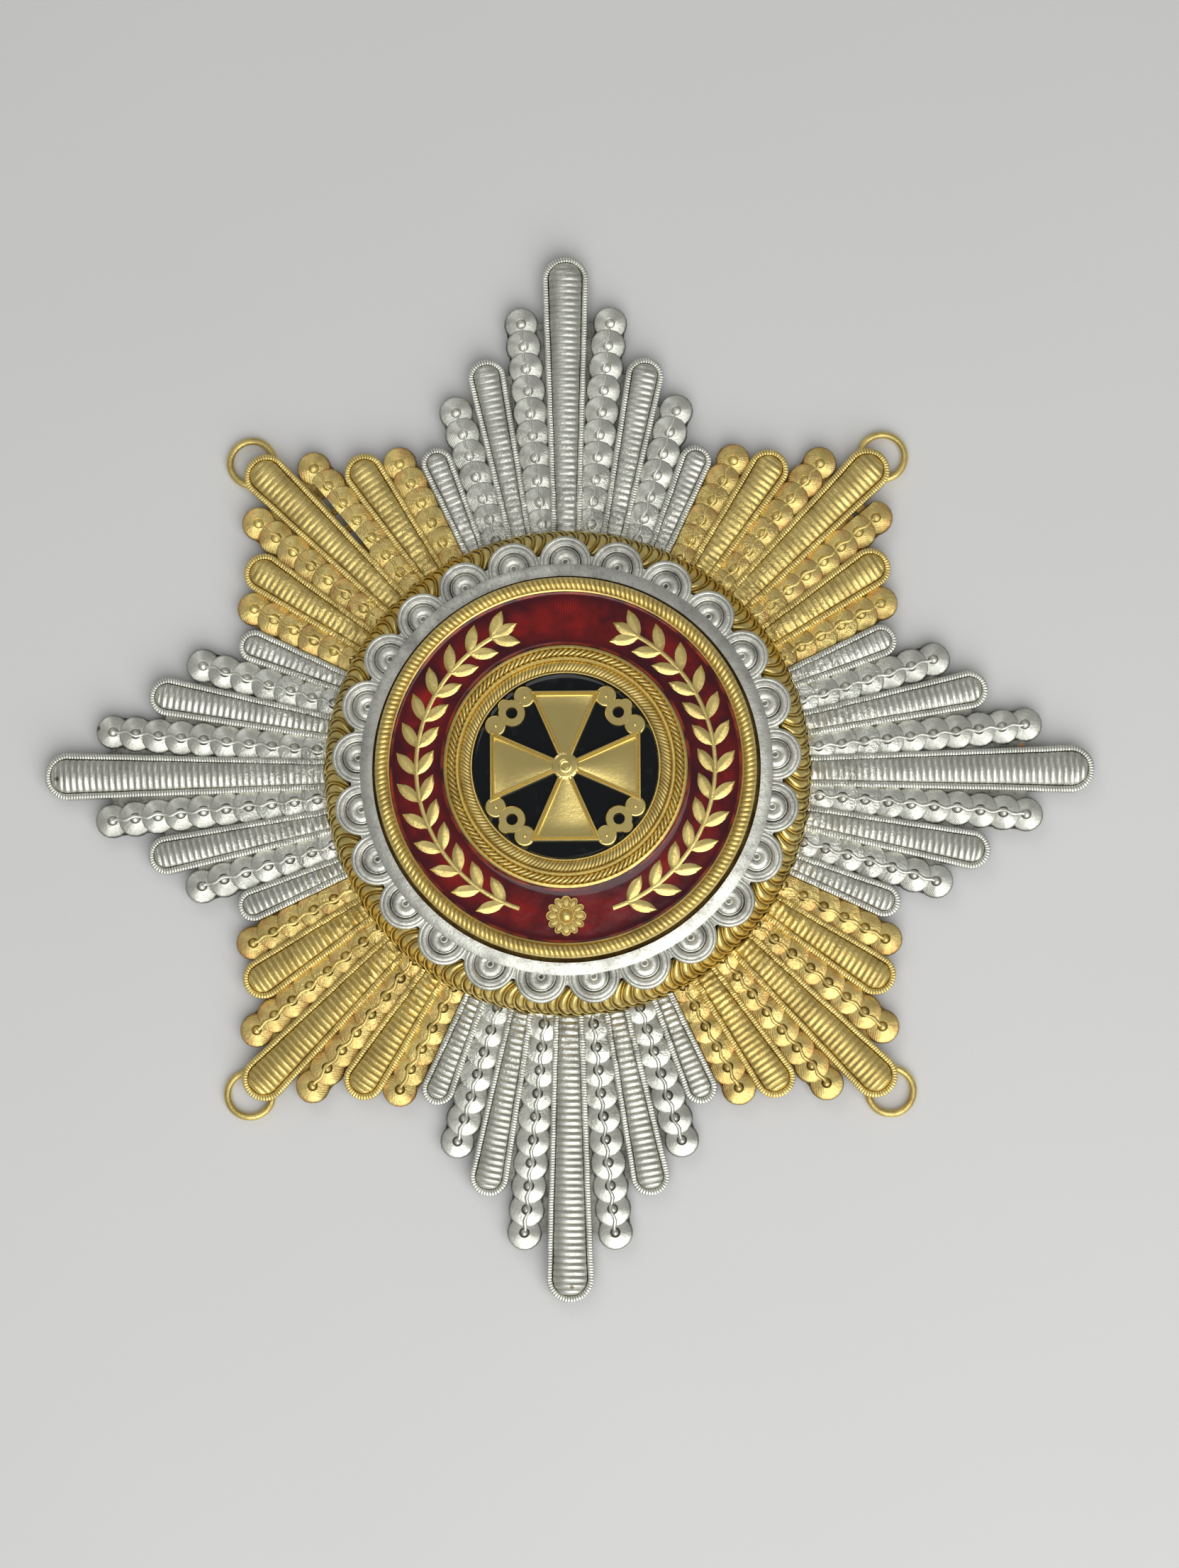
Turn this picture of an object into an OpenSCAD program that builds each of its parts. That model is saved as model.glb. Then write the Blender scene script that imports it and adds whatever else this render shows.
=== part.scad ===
/* [Star] */
// Distance from the centre to the tips of the four silver arms
star_r = 51; // [48:0.5:55]
// Thickness of the plate under the rays and strands
plate_t = 0.6; // [0.5:0.05:0.9]
// Gap between one piece and the next
gap = 0.06; // [0.04:0.01:0.1]

/* [Rays] */
// Width of a silver arm's middle ray near its tip
ray_w = 4.4; // [4:0.1:4.6]
// Width of a ray at the medallion, as a share of its width near the tip
ray_taper = 0.64; // [0.55:0.01:0.75]
// Height of a ray's rim above the plate
rim_h = 0.7; // [0.65:0.05:0.9]
// Width of the cord along a ray's rim
cord_w = 0.55; // [0.4:0.05:0.7]
// Depth of the lane's axis under the rim, which sets how flat the lane is
lane_depth = 1.6; // [1.2:0.1:2.4]
// Spacing of the ribs across a lane
rib_pitch = 0.62; // [0.55:0.01:0.9]
// Height of a rib
rib_h = 0.1; // [0.06:0.01:0.16]

/* [Strands] */
// Diameter of a sequin
sequin_d = 3.36; // [3:0.02:3.6]
// Thickness of a sequin
sequin_t = 0.4; // [0.35:0.05:0.5]
// Spacing of the sequins along a strand
sequin_pitch = 2.23; // [2:0.01:2.4]
// Tilt of a sequin, which lifts its outer edge over the next one
sequin_tilt = 9; // [7:0.5:11]

/* [Sewing loops] */
// Outer diameter of a loop
loop_od = 5.1; // [4.5:0.1:6]
// Diameter of its wire
loop_wire = 0.7; // [0.6:0.05:0.75]

/* [Back] */
// Diameter of the plain disc behind the star
back_d = 54; // [50:1:60]
// Thickness of that disc
back_t = 0.8; // [0.8:0.05:1.2]
// Bevel round its edge
back_bevel = 0.3; // [0.1:0.05:0.4]

/* [Rope ring] */
// Diameter of the coiled rope round the medallion
rope_w = 5; // [4.6:0.1:5.4]
// Distance from the drum's wall to the rope's middle
rope_seat = 1; // [0.8:0.05:1.2]
// Height of the rope's middle above the plate that it stands on
rope_rise = 1; // [0.8:0.05:1.2]

/* [Scalloped ring] */
// Number of scallops
scallops = 25; // [23:1:27]
// Distance from the drum's edge out to the scallops' centres
scallop_overhang = 0.1; // [0.1:0.05:0.3]
// Overlap of one scallop and the next
scallop_overlap = 0.06; // [0.04:0.01:0.15]
// Thickness of the scalloped plate
scallop_t = 0.6; // [0.5:0.05:0.8]
// Rise from each raised arc of a scallop to the next
scallop_step = 0.12; // [0.08:0.01:0.15]
// Width of the plain band inside the scallops
band_w = 1.05; // [0.9:0.05:1.1]
// Height of the plain band above the scalloped plate
band_h = 0.5; // [0.45:0.05:0.6]

/* [Medallion] */
// Diameter of the field that holds the black enamel
black_d = 17.8; // [17:0.1:18.6]
// Width of the double rope ring round it
inner_w = 2.75; // [2.6:0.05:2.9]
// Width of the red enamel
enamel_w = 5.25; // [5.1:0.05:5.5]
// Width of the cord round the enamel
bezel_cord_w = 1.25; // [1.1:0.05:1.4]
// Width of the bezel's sloping edge
bezel_slope_w = 0.7; // [0.5:0.05:0.8]
// Width of the drum's shoulder outside the bezel
shoulder_w = 1.15; // [1.1:0.05:1.3]
// Wall of the drum, which is hollow
drum_wall = 1.4; // [1.2:0.1:2]
// Thickness of the floor over the hollow
floor_t = 0.9; // [0.8:0.05:1.2]
// Height of the bezel's plain wall above the drum
bezel_wall_h = 2.4; // [2:0.1:2.8]
// Height of its sloping edge
bezel_slope_h = 0.5; // [0.3:0.05:0.6]
// Depth of the medallion's floor under the cord's foot
floor_depth = 0.7; // [0.6:0.05:0.9]
// Thickness of the red enamel at the bezel
enamel_t = 0.55; // [0.45:0.05:0.6]
// Rise of the red enamel from the bezel to the inner ring
enamel_rise = 0.35; // [0.2:0.05:0.5]
// Height of the double rope ring's body above the floor
inner_h = 0.85; // [0.8:0.05:1]
// Thickness of each of its two ropes
inner_rope_w = 1.06; // [0.9:0.02:1.1]
// Thickness of the black enamel
black_t = 0.95; // [0.85:0.05:1.1]

/* [Cross] */
// Distance from the edge of an arm to the double rope ring
cross_gap = 1.7; // [1.5:0.05:2]
// Distance from an arm's corners to that ring
cross_corner_gap = 0.92; // [0.8:0.02:1.1]
// Width of an arm where it meets the middle
cross_neck_w = 1.1; // [0.9:0.05:1.4]
// Diameter of the round middle
cross_hub_d = 2.6; // [2.3:0.1:3]
// Thickness of the cross inside its rims
cross_t = 0.45; // [0.4:0.05:0.6]
// Height of the rims and the middle above that
cross_rim_h = 0.3; // [0.2:0.05:0.4]
// Width of the rims
cross_rim_w = 0.5; // [0.4:0.05:0.6]
// Radius of the two side lobes of a corner ornament
corner_lobe_r = 1; // [0.9:0.05:1.1]
// Distance of their centres behind the edges of the arms
corner_drop = 0.55; // [0.4:0.05:0.7]
// Overlap of a lobe with its arm and with the ornament's middle
corner_bite = 0.3; // [0.2:0.02:0.4]
// Radius of the ornament's end lobe
corner_tip_r = 0.7; // [0.6:0.05:0.8]
// Diameter of the hole in its middle
corner_hole_d = 1; // [0.8:0.05:1.2]

/* [Garland] */
// Length of a leaf
leaf_l = 2.9; // [2.6:0.05:3]
// Width of a leaf
leaf_w = 1.15; // [1:0.05:1.25]
// Angle between a leaf and the stem
leaf_angle = 38; // [34:1:42]
// Width of the stem
stem_w = 0.4; // [0.3:0.05:0.5]
// Height of the garland above the enamel
garland_h = 0.12; // [0.08:0.01:0.2]
// Diameter of the rosette
rosette_d = 3.9; // [3.6:0.05:4.1]
// Height of the rosette above the enamel
rosette_h = 0.35; // [0.25:0.05:0.45]
// Diameter of the rosette's boss
rosette_boss_d = 1.2; // [1:0.05:1.4]

/* [Hidden] */
$fn = 64;

GOLD = "#c9a648";
SILVER = "#a7aaac";
RED = "#8c1414";
BLACK = "#17191c";

// A lane is a ribbed ray or a strand of sequins. Each row gives a lane's kind, its reach as a
// share of star_r and its width as a share of ray_w, from the middle of the arm or fan
// outwards. A strand's width is sequin_d.
RAY = 0;
STRAND = 1;
KIND = 0;
REACH = 1;
BREADTH = 2;
SILVER_LANES = [
    [RAY, 1.000, 1.00],
    [STRAND, 0.907, 1],
    [RAY, 0.816, 0.82],
    [STRAND, 0.762, 1],
    [RAY, 0.679, 0.70]
];
GOLD_LANES = [
    [RAY, 0.859, 0.95],
    [STRAND, 0.799, 1],
    [RAY, 0.737, 0.87],
    [STRAND, 0.713, 1]
];
lane_step = 360 / (4 * (2 * len(SILVER_LANES) - 1 + 2 * len(GOLD_LANES) - 1));

// Casting flaws of two fans: distance as a share of star_r, angle from the fan's middle as a
// share of lane_step, and length in the lane's direction
FLAW_W = 0.42;
TOP_LEFT_FLAWS = [
    [0.697, 0.66, 1.5],
    [0.656, 0.66, 1.6],
    [0.611, 0.62, 1.7]
];
TOP_RIGHT_FLAWS = [[0.741, 0.49, 0.5]];

// Radii of a scallop's raised arcs, as shares of scallop_r
SCALLOP_STEPS = [0.74, 0.48, 0.2];

// Where a corner ornament's middle lies, as a share of its reach
CORNER_MIDDLE = 0.82;

// Radius of a rosette's petal as a share of the rosette's own
PETAL = 0.27;

// Heights over the surface that the star lies on
plate_z = back_t;
plate_top = plate_z + plate_t;
rim_z = plate_top + rim_h;
rope_z = plate_top + rope_rise;
shoulder_z = rope_z + rope_w / 2 + gap;
bezel_z = shoulder_z + bezel_wall_h;
cord_z = bezel_z + bezel_slope_h;
floor_z = cord_z - floor_depth;
enamel_z = floor_z + enamel_t;
black_z = floor_z + black_t;
top_z = 2 * black_z;

// Radii from the middle outwards
black_r = black_d / 2;
inner_r = black_r + inner_w;
cord_in_r = inner_r + enamel_w;
cord_out_r = cord_in_r + bezel_cord_w;
bezel_r = cord_out_r + bezel_slope_w;
hollow_r = bezel_r - drum_wall;
band_r = bezel_r + gap + band_w;
drum_r = bezel_r + shoulder_w;
scallop_ring_r = drum_r + scallop_overhang;
scallop_r = scallop_ring_r * sin(180 / scallops) + scallop_overlap / 2;
rope_mid_r = drum_r + rope_seat;
rope_r = rope_mid_r + rope_w / 2;
relief_r = rope_r + gap;

// Strand and ray shapes
sequin_r = sequin_d / 2;
sequin_z = plate_top + sequin_t / 2 - gap;
tip_swell = 1.04;
tip_steps = 5;
tip_turn = 75;

// Cross: where its arms start and end, half their width there, and how fast they widen
arm_start = cross_hub_d / 4;
arm_end = black_r - cross_gap;
arm_half = sqrt(pow(black_r - cross_corner_gap, 2) - pow(arm_end, 2));
arm_slope = (arm_half - cross_neck_w / 2) / (arm_end - arm_start);

// Place of the garland between the two walls of the red enamel
garland_r = (inner_r + cord_in_r) / 2;
leaf_step = 10.5;
leaf_first = 30;
leaf_pairs = 13;
stem_lead = asin(leaf_l / 2 / garland_r);
rosette_r = rosette_d / 2;
petals = 12;
garland_gap = gap / 2;

function ray_half(breadth) = ray_w * breadth / 2;
function lane_half(half, share) = half * (ray_taper + (1 - ray_taper) * share) - cord_w;
function lane_radius(half_width) = sqrt(half_width * half_width + lane_depth * lane_depth);

// Outline of a ray, from under the rope ring to its round tip
module ray_outline(reach, breadth) {
    half = ray_half(breadth);
    end_r = half * tip_swell;
    translate([0, reach - end_r]) circle(r = end_r);
    polygon([
        [-half * ray_taper, rope_mid_r], [half * ray_taper, rope_mid_r],
        [half, reach - end_r], [-half, reach - end_r]
    ]);
}

// Ribbed lane along the top of a ray, with a round outer end
module ribbed_lane(reach, breadth) {
    half = ray_half(breadth);
    start = rope_mid_r;
    end_half = half - cord_w;
    end = reach - cord_w - end_half;
    ribs = floor((end - start) / rib_pitch);
    step = (end - start) / ribs / 2;
    sides = [
        for (k = [0 : 2 * ribs])
            [lane_radius(lane_half(half, k / (2 * ribs))) + (k % 2) * rib_h, start + k * step]
    ];
    round_end = [
        for (k = [1 : tip_steps])
            let (turn = tip_turn * k / tip_steps)
            [lane_radius(end_half * cos(turn)), end + end_half * sin(turn)]
    ];
    profile = concat([[0, start]], sides, round_end, [[0, end + end_half * sin(tip_turn)]]);
    intersection() {
        translate([0, 0, rim_z - lane_depth])
            rotate([-90, 0, 0])
            rotate_extrude() polygon(profile);
        translate([-ray_w, 0, rim_z - 2 * gap]) cube([2 * ray_w, reach, 2 * lane_depth]);
    }
}

// One ray, standing on the back disc
module ray(reach, breadth) {
    translate([0, 0, plate_z]) linear_extrude(plate_t + rim_h) ray_outline(reach, breadth);
    ribbed_lane(reach, breadth);
}

function sequin_places(reach) = [for (y = [reach - sequin_r : -sequin_pitch : rope_mid_r]) y];

// One strand: sequins that overlap like tiles, on their part of the plate
module strand(reach) {
    places = sequin_places(reach);
    translate([0, 0, plate_z])
        linear_extrude(plate_t)
        for (y = places) translate([0, y]) circle(r = sequin_r - gap);
    for (y = places) {
        translate([0, y, sequin_z])
            rotate([sequin_tilt, 0, 0])
            cylinder(h = sequin_t, r = sequin_r, center = true);
    }
}

module lane(row) {
    if (row[KIND] == RAY) ray(row[REACH] * star_r, row[BREADTH]);
    else strand(row[REACH] * star_r);
}

function round_end_start(row) =
    row[REACH] * star_r - (row[KIND] == RAY ? ray_half(row[BREADTH]) * tip_swell : sequin_r);

// Plate that closes the gaps between neighbouring lanes, out to the shorter one's round end
module webs(rows) {
    circle(r = round_end_start(SILVER_LANES[len(SILVER_LANES) - 1]) - cord_w);
    for (i = [1 : len(rows) - 1], side = [-1, 1]) {
        far = round_end_start(rows[i]);
        rotate(-side * i * lane_step)
            polygon([[0, 0], [0, far], [-side * far * sin(lane_step), far * cos(lane_step)]]);
    }
}

// Wedge that an arm or a fan fills, a little narrower than its share of the circle
module wedge(rows) {
    half = (len(rows) - 0.5) * lane_step;
    far = 1.2 * star_r;
    translate([0, gap / 2 / sin(half)])
        polygon([[0, 0], [-far * tan(half), far], [far * tan(half), far]]);
}

// A group of lanes side by side, cut to its wedge and to the rope ring
module lane_group(rows) {
    difference() {
        intersection() {
            union() {
                for (i = [0 : len(rows) - 1], side = i == 0 ? [1] : [-1, 1]) {
                    rotate([0, 0, -side * i * lane_step]) lane(rows[i]);
                }
                translate([0, 0, plate_z]) linear_extrude(plate_t) webs(rows);
            }
            linear_extrude(top_z) wedge(rows);
        }
        translate([0, 0, plate_top]) cylinder(h = top_z, r = relief_r);
        cylinder(h = top_z, r = drum_r + gap);
    }
}

// Slots and pinholes left by the casting
module flaws(rows) {
    for (row = rows) {
        rotate([0, 0, -row[1] * lane_step])
            translate([0, row[0] * star_r, 0])
            linear_extrude(top_z)
            union() {
                square([FLAW_W, row[2]], center = true);
                translate([0, row[2] / 2]) circle(d = FLAW_W);
                translate([0, -row[2] / 2]) circle(d = FLAW_W);
            }
    }
}

// Ring of round wire behind the tip of a fan's middle ray
module sewing_loop() {
    translate([0, GOLD_LANES[0][REACH] * star_r, plate_z + gap - loop_wire / 2])
        rotate_extrude() translate([(loop_od - loop_wire) / 2, 0]) circle(d = loop_wire);
}

module silver_arm(turn) {
    color(SILVER) rotate([0, 0, -turn]) lane_group(SILVER_LANES);
}

module gold_fan(turn, flaw_rows) {
    color(GOLD)
        rotate([0, 0, -turn])
        difference() {
            union() {
                lane_group(GOLD_LANES);
                sewing_loop();
            }
            flaws(flaw_rows);
        }
}

module back_disc() {
    r = back_d / 2;
    color(GOLD)
        rotate_extrude()
        polygon([[0, 0], [r - back_bevel, 0], [r, back_bevel], [r, back_t], [0, back_t]]);
}

module rope_ring() {
    color(GOLD)
        rotate_extrude()
        intersection() {
            translate([rope_mid_r, rope_z]) circle(d = rope_w);
            translate([drum_r + gap, plate_top]) square([2 * rope_w, 2 * rope_w]);
        }
}

module medallion_body() {
    color(GOLD)
        rotate_extrude()
        union() {
            polygon([
                [hollow_r, back_t], [drum_r, back_t], [drum_r, shoulder_z],
                [bezel_r, shoulder_z], [bezel_r, bezel_z], [cord_out_r, cord_z],
                [cord_in_r, cord_z], [cord_in_r, floor_z], [0, floor_z],
                [0, floor_z - floor_t], [hollow_r, floor_z - floor_t]
            ]);
            translate([(cord_in_r + cord_out_r) / 2, cord_z]) circle(r = bezel_cord_w / 2 - gap);
        }
}

module scalloped_ring() {
    color(SILVER)
        translate([0, 0, shoulder_z])
        difference() {
            union() {
                for (i = [0 : scallops - 1]) {
                    rotate([0, 0, -i * 360 / scallops]) translate([0, scallop_ring_r, 0]) scallop();
                }
                cylinder(h = scallop_t + band_h, r = band_r);
            }
            translate([0, 0, -scallop_t]) cylinder(h = top_z, r = bezel_r + gap);
        }
}

// One scallop: a disc with raised steps towards its middle
module scallop() {
    cylinder(h = scallop_t, r = scallop_r);
    for (k = [0 : len(SCALLOP_STEPS) - 1]) {
        cylinder(h = scallop_t + (k + 1) * scallop_step, r = scallop_r * SCALLOP_STEPS[k]);
    }
}

// Space between the inner ring and the bezel, up to a height over the enamel
module enamel_space(raise, clear) {
    rotate_extrude()
        polygon([
            [inner_r + clear, floor_z], [cord_in_r - clear, floor_z],
            [cord_in_r - clear, enamel_z + raise], [inner_r + clear, enamel_z + enamel_rise + raise]
        ]);
}

module enamel_ring() {
    color(RED)
        difference() {
            enamel_space(0, gap);
            linear_extrude(top_z) garland_outline(garland_gap);
            translate([0, -garland_r, 0]) cylinder(h = top_z, r = rosette_r + garland_gap);
        }
}

// Leaf shape pointing along +Y from the origin, grown by some clearance
module leaf(grow) {
    arc_r = (leaf_l * leaf_l + leaf_w * leaf_w) / (4 * leaf_w);
    shift = arc_r - leaf_w / 2;
    translate([0, leaf_l / 2])
        intersection() {
            translate([shift, 0]) circle(r = arc_r + grow);
            translate([-shift, 0]) circle(r = arc_r + grow);
        }
}

// Half of the garland: a stem with pairs of leaves that point up towards its tip
module branch_outline(grow) {
    first = leaf_first;
    last = leaf_first + (leaf_pairs - 1) * leaf_step;
    grow_turn = asin(grow / garland_r);
    for (k = [0 : leaf_pairs - 1]) {
        rotate(-(first + k * leaf_step))
            translate([0, garland_r])
            for (side = [-1, 1]) rotate(90 + side * leaf_angle) leaf(grow);
    }
    rotate(-first) translate([0, garland_r]) rotate(90) leaf(grow);
    intersection() {
        difference() {
            circle(r = garland_r + stem_w / 2 + grow);
            circle(r = garland_r - stem_w / 2 - grow);
        }
        stem_sector(first - stem_lead - grow_turn, last + stem_lead + grow_turn);
    }
}

// Sector of the plane between two angles from the top, clockwise
module stem_sector(from, to) {
    far = 2 * garland_r;
    middle = (from + to) / 2;
    polygon([
        [0, 0], [far * sin(from), far * cos(from)], [far * sin(middle), far * cos(middle)],
        [far * sin(to), far * cos(to)]
    ]);
}

module garland_outline(grow) {
    branch_outline(grow);
    mirror([1, 0]) branch_outline(grow);
}

module garland() {
    color(GOLD)
        intersection() {
            enamel_space(garland_h, gap);
            linear_extrude(top_z) garland_outline(0);
        }
}

module rosette() {
    petal_r = rosette_r * PETAL;
    reach = rosette_r - petal_r;
    height = enamel_z + enamel_rise / 2 + rosette_h - floor_z;
    color(GOLD)
        translate([0, -garland_r, floor_z])
        union() {
            cylinder(h = height - rosette_h / 2, r = reach);
            for (i = [0 : petals - 1]) {
                rotate([0, 0, i * 360 / petals]) translate([0, reach, 0]) cylinder(h = height, r = petal_r);
            }
            translate([0, 0, height - rosette_h / 2]) sphere(d = rosette_boss_d);
        }
}

module inner_ring() {
    rope_out = inner_r - inner_rope_w / 2 - gap;
    rope_in = black_r + inner_rope_w / 2 + gap;
    color(GOLD)
        rotate_extrude()
        union() {
            translate([black_r, floor_z]) square([inner_w, inner_h]);
            translate([rope_out, floor_z + inner_h]) circle(d = inner_rope_w);
            translate([rope_in, floor_z + inner_h]) circle(d = inner_rope_w);
        }
}

module centre_disc() {
    color(BLACK) translate([0, 0, floor_z]) cylinder(h = black_t, r = black_r - gap);
}

// Arm of the cross as seen from the front, narrowed all round by the inset
module cross_arm(inset) {
    side = inset * sqrt(1 + arm_slope * arm_slope);
    end_half = arm_half - side - inset * arm_slope;
    polygon([
        [-cross_neck_w / 2 + side, arm_start], [cross_neck_w / 2 - side, arm_start],
        [end_half, arm_end - inset], [-end_half, arm_end - inset]
    ]);
}

// Ornament between two arms: three lobes round a hole
module corner_ornament() {
    reach = black_r - 2 * gap;
    middle = reach * CORNER_MIDDLE * [sin(45), cos(45)];
    lobe_y = arm_end - corner_drop;
    arm_side = arm_half - corner_drop * arm_slope;
    lobe_x = arm_side + corner_lobe_r - corner_bite;
    middle_r = norm(middle - [lobe_x, lobe_y]) - corner_lobe_r + corner_bite;
    difference() {
        union() {
            translate([lobe_x, lobe_y]) circle(r = corner_lobe_r);
            translate([lobe_y, lobe_x]) circle(r = corner_lobe_r);
            rotate(-45) translate([0, reach - corner_tip_r]) circle(r = corner_tip_r);
            translate(middle) circle(r = middle_r);
        }
        translate(middle) circle(d = corner_hole_d);
    }
}

module cross() {
    color(GOLD)
        translate([0, 0, black_z])
        union() {
            linear_extrude(cross_t)
                for (a = [0 : 90 : 270]) rotate(a) cross_arm(0);
            for (a = [0 : 90 : 270]) {
                rotate([0, 0, a])
                    linear_extrude(cross_t + cross_rim_h)
                    difference() {
                        cross_arm(0);
                        cross_arm(cross_rim_w);
                    }
                rotate([0, 0, a]) linear_extrude(cross_t + cross_rim_h / 2) corner_ornament();
            }
            cylinder(h = cross_t + cross_rim_h, r = cross_hub_d / 2);
        }
}

back_disc();
silver_arm(0);  // silver_arm_top
silver_arm(90);  // silver_arm_right
silver_arm(180);  // silver_arm_bottom
silver_arm(270);  // silver_arm_left
gold_fan(45, TOP_RIGHT_FLAWS);  // gold_fan_top_right
gold_fan(135, []);  // gold_fan_bottom_right
gold_fan(225, []);  // gold_fan_bottom_left
gold_fan(315, TOP_LEFT_FLAWS);  // gold_fan_top_left
rope_ring();
medallion_body();
scalloped_ring();
enamel_ring();
garland();
rosette();
inner_ring();
centre_disc();
cross();
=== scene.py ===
"""Looks of the breast star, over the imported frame"""
import math

import bmesh
import bpy
from mathutils import Matrix, Vector, noise


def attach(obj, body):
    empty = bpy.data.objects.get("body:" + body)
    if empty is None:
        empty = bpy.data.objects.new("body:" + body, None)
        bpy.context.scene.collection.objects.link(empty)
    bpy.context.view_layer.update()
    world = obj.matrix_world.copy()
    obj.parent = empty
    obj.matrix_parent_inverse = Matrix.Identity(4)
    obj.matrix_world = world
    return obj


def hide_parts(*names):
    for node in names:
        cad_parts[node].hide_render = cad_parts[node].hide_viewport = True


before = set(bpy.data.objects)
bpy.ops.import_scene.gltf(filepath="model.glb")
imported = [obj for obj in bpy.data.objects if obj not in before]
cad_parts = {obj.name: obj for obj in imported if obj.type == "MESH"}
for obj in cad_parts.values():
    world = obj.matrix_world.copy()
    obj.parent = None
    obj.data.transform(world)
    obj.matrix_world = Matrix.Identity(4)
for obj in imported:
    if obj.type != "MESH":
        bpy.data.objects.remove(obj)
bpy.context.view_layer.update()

bl_info = {
    "name": "Breast star",
    "version": (1, 0, 0),
    "blender": (4, 5, 0),
    "location": "View3D > Sidebar > Breast star",
    "description": "Builds the pieces of an enamelled breast star",
    "category": "Mesh",
}

# Sizes in millimetres, as in the part's source
MM = 0.001
STAR_R = 51.0
PLATE_BOTTOM = 0.8
PLATE_TOP = 1.4
RIM_Z = 2.1
RAY_W = 4.4
RAY_TAPER = 0.64
TIP_SWELL = 1.04
LANE_DEPTH = 2.0
GAP = 0.06
SEQUIN_R = 1.68
SEQUIN_PITCH = 2.23
LOOP_MID_R = 2.2
LOOP_WIRE_R = 0.35
LOOP_Z = 0.51
DRUM_R = 20.0
ROPE_MID_R = 21.0
ROPE_Z = 2.4
RELIEF_R = 23.56
WEB_R = 32.48
SHOULDER_Z = 4.96
BEZEL_R = 18.85
CORD_OUT_R = 18.15
CORD_IN_R = 16.9
CORD_Z = 7.86
FLOOR_Z = 7.16
HOLLOW_R = 17.45
BLACK_Z = 8.11
BLACK_R = 8.9
INNER_R = 11.65
ENAMEL_Z = 7.71
ENAMEL_RISE = 0.35
GARLAND_R = 14.275
GARLAND_Z = ENAMEL_Z + ENAMEL_RISE / 2
SCALLOP_RING_R = 20.1
SCALLOP_R = 2.549
BAND_R = 19.96
LANE_STEP = math.radians(5.625)

RAY = "ray"
STRAND = "strand"
# Kind, reach and width of each lane, from the middle of its arm or fan outwards
SILVER_LANES = (
    (RAY, 1.000, 1.00), (STRAND, 0.907, 1.0), (RAY, 0.816, 0.82), (STRAND, 0.762, 1.0),
    (RAY, 0.679, 0.70),
)
GOLD_LANES = (
    (RAY, 0.859, 0.95), (STRAND, 0.799, 1.0), (RAY, 0.737, 0.87), (STRAND, 0.713, 1.0),
)

# Rows along one rib of a lane: share of the pitch and share of the height
RIB_ROWS = ((0.0, 0.0), (0.16, 0.4), (0.32, 0.85), (0.5, 1.0), (0.68, 0.85), (0.84, 0.4))
LANE_SIDES = 12
LANE_FOOT = 1.2
# How far a lane reaches under the cord, and how far and how late it falls at its very edge
OVERLAP = 0.02
EDGE_FALL = 0.09
EDGE_POWER = 24
# Rows along one rib of a ray's cord: share of the pitch and swell
CORD_ROWS = ((0.0, 0.88), (0.18, 1.0), (0.82, 1.0))
# Section of that cord: across and up, in radii
CORD_SECTION = (
    (-1.0, -1.6), (-1.0, 0.3), (-0.88, 0.8), (-0.52, 1.0), (0.52, 1.0), (0.88, 0.8), (1.0, 0.3),
    (1.0, -1.6),
)
RAY_BASE_TOP = 1.72
# Darkening of the flat plates between and under the lanes: painted shade in these recesses
PLATE_PAINTED_SHADE = 0.75

# Rings of a sequin from its edge to its dimple: radius, drop and patina, whose dark rim step and
# dark groove round the dimple are painted shade
SEQUIN_RINGS = (
    (1.0, 0.32, 1.0), (0.95, 0.03, 0.5), (0.86, 0.0, 0.0), (0.31, -0.03, 0.0), (0.25, 0.17, 1.0),
    (0.17, 0.06, 0.4), (0.08, -0.04, 0.0),
)
SEQUIN_SIDES = 18
SEQUIN_TOP = 1.95
# Those rings that carry the dome's fine lines, and the first ring of the dimple
DOME_RINGS = (1, 2)
DIMPLE_RING = 4
# Casting holes beside the first strand of two fans: distance and length, then from where to where
# they reach beside the strand's middle
FAN_HOLES = {
    "top_left": ((31.16, 1.7, 0.93, 1.36), (33.46, 1.6, 0.93, 1.36), (35.55, 1.5, 0.93, 1.36)),
    "top_right": ((37.79, 0.6, 1.3, 1.76),),
}
# Section of a strand's thread: across, up and patina; its darkened sides paint a shade along the
# thread where it lies on the sequins
THREAD_SECTION = (
    (-0.2, -0.06, 0.7), (-0.14, 0.03, 0.2), (-0.07, 0.08, 0.0), (0.07, 0.08, 0.0),
    (0.14, 0.03, 0.2), (0.2, -0.06, 0.7), (0.0, -0.3, 0.7),
)
# Points of the thread for each sequin, its mean way off the middle and how far it swings
THREAD_STEPS = 8
THREAD_OFF = 0.06
THREAD_SWING = 0.16

# Uneven casting: waves for a millimetre, how much it moves the surface, from which radius inwards
# and over what distance it turns rough, and the seed that makes it the same each time
SLOW_WAVES = 0.45
ROUGH_WAVES = 1.7
UNEVEN = 0.03
ROUGH_R = 31.0
ROUGH_FADE = 7.0
CASTING_SEED = 1
# Edges sharper than this stay sharp
SMOOTH_ANGLE = math.radians(42.0)


# Meshes

def blank_part():
    """Empty mesh with the two layers that the finishes read"""
    part = bmesh.new()
    part.verts.layers.float.new("patina_and_shade")
    part.verts.layers.float_vector.new("local")
    return part


def shaped_grid(part, across, along, place):
    """Grid whose vertices go to place(column, row): point, patina with painted shade and, on
    sequins, local point
    """
    patina_and_shade = part.verts.layers.float["patina_and_shade"]
    local = part.verts.layers.float_vector["local"]
    grid = bmesh.ops.create_grid(part, x_segments=across, y_segments=along, size=0.5)
    for vert in grid["verts"]:
        column = round((vert.co.x + 0.5) * across)
        row = round((vert.co.y + 0.5) * along)
        vert.co, vert[patina_and_shade], *spot = place(column, row)
        if spot:
            vert[local] = spot[0]


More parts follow.
